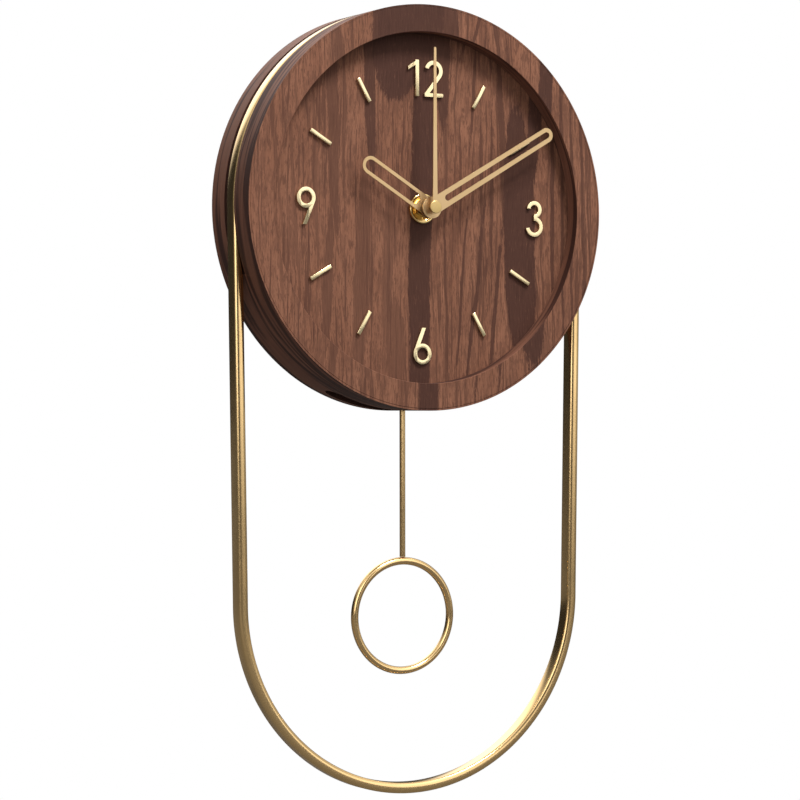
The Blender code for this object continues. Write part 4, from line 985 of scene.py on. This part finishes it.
def screw(name, node_name, head_r, head, shank_r):
    """A cross-recess screw driven in from the rear: a turned body with two slots cut."""
    low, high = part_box(node_name)
    at = (low + high) / 2
    crown = 0.35 * head
    obj = turned(name, [
        (0.3 * MM, high.y), (head_r * 0.55, high.y - crown * 0.25),
        (head_r * 0.85, high.y - crown), (head_r, high.y - head * 0.9), (shank_r, high.y - head),
        (shank_r, low.y + 1.5 * MM), (0.2 * MM, low.y)], at.x, at.z, 32)
    for wide, tall in ((0.55 * MM, 2.6 * MM), (2.6 * MM, 0.55 * MM)):
        cut(obj, block("recess", (at.x - wide / 2, at.x + wide / 2),
                       (high.y - 0.7 * head, high.y + MM), (at.z - tall / 2, at.z + tall / 2)))
    return finished(obj, STEEL, BODY[node_name], SLOT_NAME[node_name], node_name)


BUTTON = 1.4 * MM               # how far the cell's raised button stands out


def cell_piece(name, radius, low_x, high_x, at, material, edge=0.0, sides=ROUND):
    """A length of the cell, along X."""
    deselect()
    bpy.ops.mesh.primitive_cylinder_add(
        vertices=sides, radius=radius, depth=high_x - low_x,
        location=((low_x + high_x) / 2, at.y, at.z), rotation=(0, math.pi / 2, 0))
    piece = named(name)
    if edge:
        soft_edges(piece, edge, 3)
    finished(piece, material, CASE, "battery_sleeve", "battery")


def make_battery():
    """A cell along X: sleeve, bare metal button and a gilt band."""
    low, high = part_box("battery")
    at = (low + high) / 2
    radius = (high.z - low.z) / 2
    cell_piece("cell", radius, low.x, high.x - BUTTON, at, SLEEVE, 0.6 * MM)
    cell_piece("cell_button", 2.6 * MM, high.x - 2 * MM, high.x, at, STEEL, 0.4 * MM, 48)
    cell_piece("cell_band", radius + 0.02 * MM, high.x - 15.5 * MM, high.x - 6.5 * MM, at,
               BRIGHT_BRASS)


def make_works():
    """What shows through the opening in the back."""
    for node_name, material, edge in (
            ("movement_case", BLACK, 0.35 * MM), ("movement_cover", BLACK, 0.35 * MM),
            ("drive_housing", BLACK, 0.4 * MM), ("setting_knob", BLACK, 0.0),
            ("pendulum_arm", BLACK, 0.25 * MM), ("arm_magnet", STEEL, 0.2 * MM),
            ("pivot_pin", STEEL, 0.0), ("contact_positive", STEEL, 0.1 * MM),
            ("contact_negative", STEEL, 0.1 * MM), ("minute_wheel", BRASS, 0.0),
            ("hour_wheel", BRASS, 0.0), ("second_wheel", BRASS, 0.0),
            ("hanger_block", SOFTWOOD, 0.4 * MM), ("circuit_board", GREEN, 0.05 * MM)):
        refined(node_name, material, edge)
    make_battery()


# ---- back --------------------------------------------------------------------------------
WINDOW_HALF = 42 * MM
WINDOW_BELOW = 66 * MM
WINDOW_ABOVE = 74 * MM
POCKET_R = 8 * MM               # hollow behind the keyhole, for the nail's head
POCKET_UP = 1.5 * MM


def make_back():
    y = span("back_panel")
    panel = disc("back_board", REAR_STEP_R - GAP, y)
    cut(panel, block("window", (-WINDOW_HALF, WINDOW_HALF), past(y),
                     (AXIS_Z - WINDOW_BELOW, AXIS_Z + WINDOW_ABOVE)),
        disc("pocket", POCKET_R, past(y), 0, middle("hanger_plate").z + POCKET_UP, ROUND))
    soft_edges(panel, 0.3 * MM, 2)
    finished(panel, BOARD, CASE, "raw_board", "back_panel")
    refined("hanger_plate", STEEL, 0.2 * MM)
    for node_name in ("back_screw_45", "back_screw_135", "back_screw_225", "back_screw_315"):
        screw("pan_" + node_name, node_name, 2.6 * MM, 1.2 * MM, 1.4 * MM)
    for node_name in ("hanger_screw_left", "hanger_screw_right"):
        screw("flat_" + node_name, node_name, 2.7 * MM, 1.3 * MM, 1.4 * MM)


# ---- CAD nodes that stay -----------------------------------------------------------------
CAD_FINISH = {
    "zinc_steel": STEEL, "black_plastic": BLACK, "white_plastic": WHITE, "black_rubber": RUBBER,
    "battery_sleeve": SLEEVE, "green_board": GREEN, "copper_wire": COPPER, "raw_board": SOFTWOOD,
    "brass_wheel": BRASS, "polished_brass": BRASS, "satin_gold": SATIN, "walnut": WRAP_WOOD,
}


def paint_cad():
    for node_name, slot_name in SLOT_NAME.items():
        mesh = frame["nodes"][node_name].data
        mesh.materials.clear()
        mesh.materials.append(CAD_FINISH[slot_name])


# ---- floor, light and camera -------------------------------------------------------------
FLOOR_DROP = 90 * MM


def make_floor():
    deselect()
    bpy.ops.mesh.primitive_plane_add(size=40, location=(0, 0, CAD_BOX[0][2] - FLOOR_DROP))
    floor = named("floor")
    made = bpy.data.materials.new("pale_floor")
    made.use_nodes = True
    tree = made.node_tree
    seen = node(tree, "ShaderNodeEmission", {"Color": (1, 1, 1, 1), "Strength": 1.0})
    lit = tree.nodes["Principled BSDF"]
    lit.inputs["Base Color"].default_value = (0.12, 0.116, 0.112, 1)
    lit.inputs["Roughness"].default_value = 0.9
    camera_ray = node(tree, "ShaderNodeLightPath").outputs["Is Camera Ray"]
    blend = node(tree, "ShaderNodeMixShader", {0: camera_ray, 1: lit.outputs[0],
                                               2: seen.outputs[0]})
    tree.links.new(blend.outputs[0], tree.nodes["Material Output"].inputs["Surface"])
    floor.data.materials.append(made)


def make_world():
    """White to the eye; for light and reflections a soft room, bright above and behind.

    Each patch is brightest towards its own direction and fades out to the sides. The strip is
    an upright one: only the way round counts, apart from a fade towards top and bottom.
    """
    world = bpy.data.worlds.new("studio")
    bpy.context.scene.world = world
    world.use_nodes = True
    tree = world.node_tree
    way = node(tree, "ShaderNodeTexCoord").outputs["Generated"]

    def towards(direction, low, high, to):
        made = node(tree, "ShaderNodeVectorMath", {0: way, 1: Vector(direction).normalized()},
                    operation="DOT_PRODUCT").outputs["Value"]
        return ramp(tree, made, low, high, to)

    up = towards((0, 0, 1), 0.28, 0.95, (0.03, 1.15))
    level = node(tree, "ShaderNodeVectorMath", {0: way, 1: (1, 1, 0)}, operation="MULTIPLY")
    level = node(tree, "ShaderNodeVectorMath", {0: level.outputs[0]}, operation="NORMALIZE")
    strip = node(tree, "ShaderNodeVectorMath", {0: level.outputs[0], 1: (0.5, -0.866, 0)},
                 operation="DOT_PRODUCT").outputs["Value"]
    strip = maths(tree, "MULTIPLY", ramp(tree, strip, 0.93, 0.985, (0.0, 1.15)),
                  towards((0.5, -0.86, 0.03), 0.35, 0.75, (0.0, 1.0)))
    side = towards((0.92, -0.38, 0.1), 0.35, 0.95, (0.0, 0.5))
    front = towards((-0.75, -0.65, 0.1), 0.6, 0.98, (0.0, 0.2))
    behind = towards((0.05, 0.86, 0.5), 0.88, 0.985, (0.0, 2.0))
    light = maths(tree, "ADD", maths(tree, "ADD", up, strip), maths(tree, "ADD", side, front))
    light = maths(tree, "ADD", light, behind)
    camera_ray = node(tree, "ShaderNodeLightPath").outputs["Is Camera Ray"]
    strength = node(tree, "ShaderNodeMix", {0: camera_ray, 2: light, 3: 1.0}).outputs[0]
    back = tree.nodes["Background"]
    back.inputs["Color"].default_value = (1, 1, 1, 1)
    tree.links.new(strength, back.inputs["Strength"])


def add_light(name, place, aim, size, power):
    data = bpy.data.lights.new(name, "AREA")
    data.shape = "SQUARE"
    data.size = size
    data.energy = power
    lamp = bpy.data.objects.new(name, data)
    bpy.context.scene.collection.objects.link(lamp)
    lamp.location = place
    lamp.rotation_euler = (Vector(aim) - Vector(place)).to_track_quat("-Z", "Y").to_euler()


def make_lights():
    """A small key high on the right and a large weak fill on the left, both at the dial."""
    dial = Vector((0, FRONT_Y, AXIS_Z))
    add_light("key", dial + Vector((0.32, -1.05, 1.5)), dial, 0.55, 35)
    add_light("fill", dial + Vector((-1.2, -1.6, 0.5)), dial, 1.4, 12)


LENS = 122.65                   # on a 36 mm wide sensor
CAMERA_FROM_DIAL = (-0.9883, -1.6757, -0.140)
CAMERA_TURN = (90.08, 0.05, -29.89)


def make_camera():
    """Level camera, thirty degrees to the left of the dial's axis."""
    data = bpy.data.cameras.new("view")
    data.lens = LENS
    data.sensor_width = 36
    data.clip_end = 100
    camera = bpy.data.objects.new("view", data)
    bpy.context.scene.collection.objects.link(camera)
    camera.location = Vector((0, FRONT_Y, AXIS_Z)) + Vector(CAMERA_FROM_DIAL)
    camera.rotation_euler = [math.radians(angle) for angle in CAMERA_TURN]
    bpy.context.scene.camera = camera
    bpy.context.scene.view_settings.view_transform = "Standard"


paint_cad()
make_wall()
make_board_and_dial()
make_bar()
make_batons()
make_twelve()
make_three()
make_six_and_nine()
make_hands()
make_washer()
make_pendulum()
make_back()
make_works()
make_floor()
make_world()
make_lights()
make_camera()
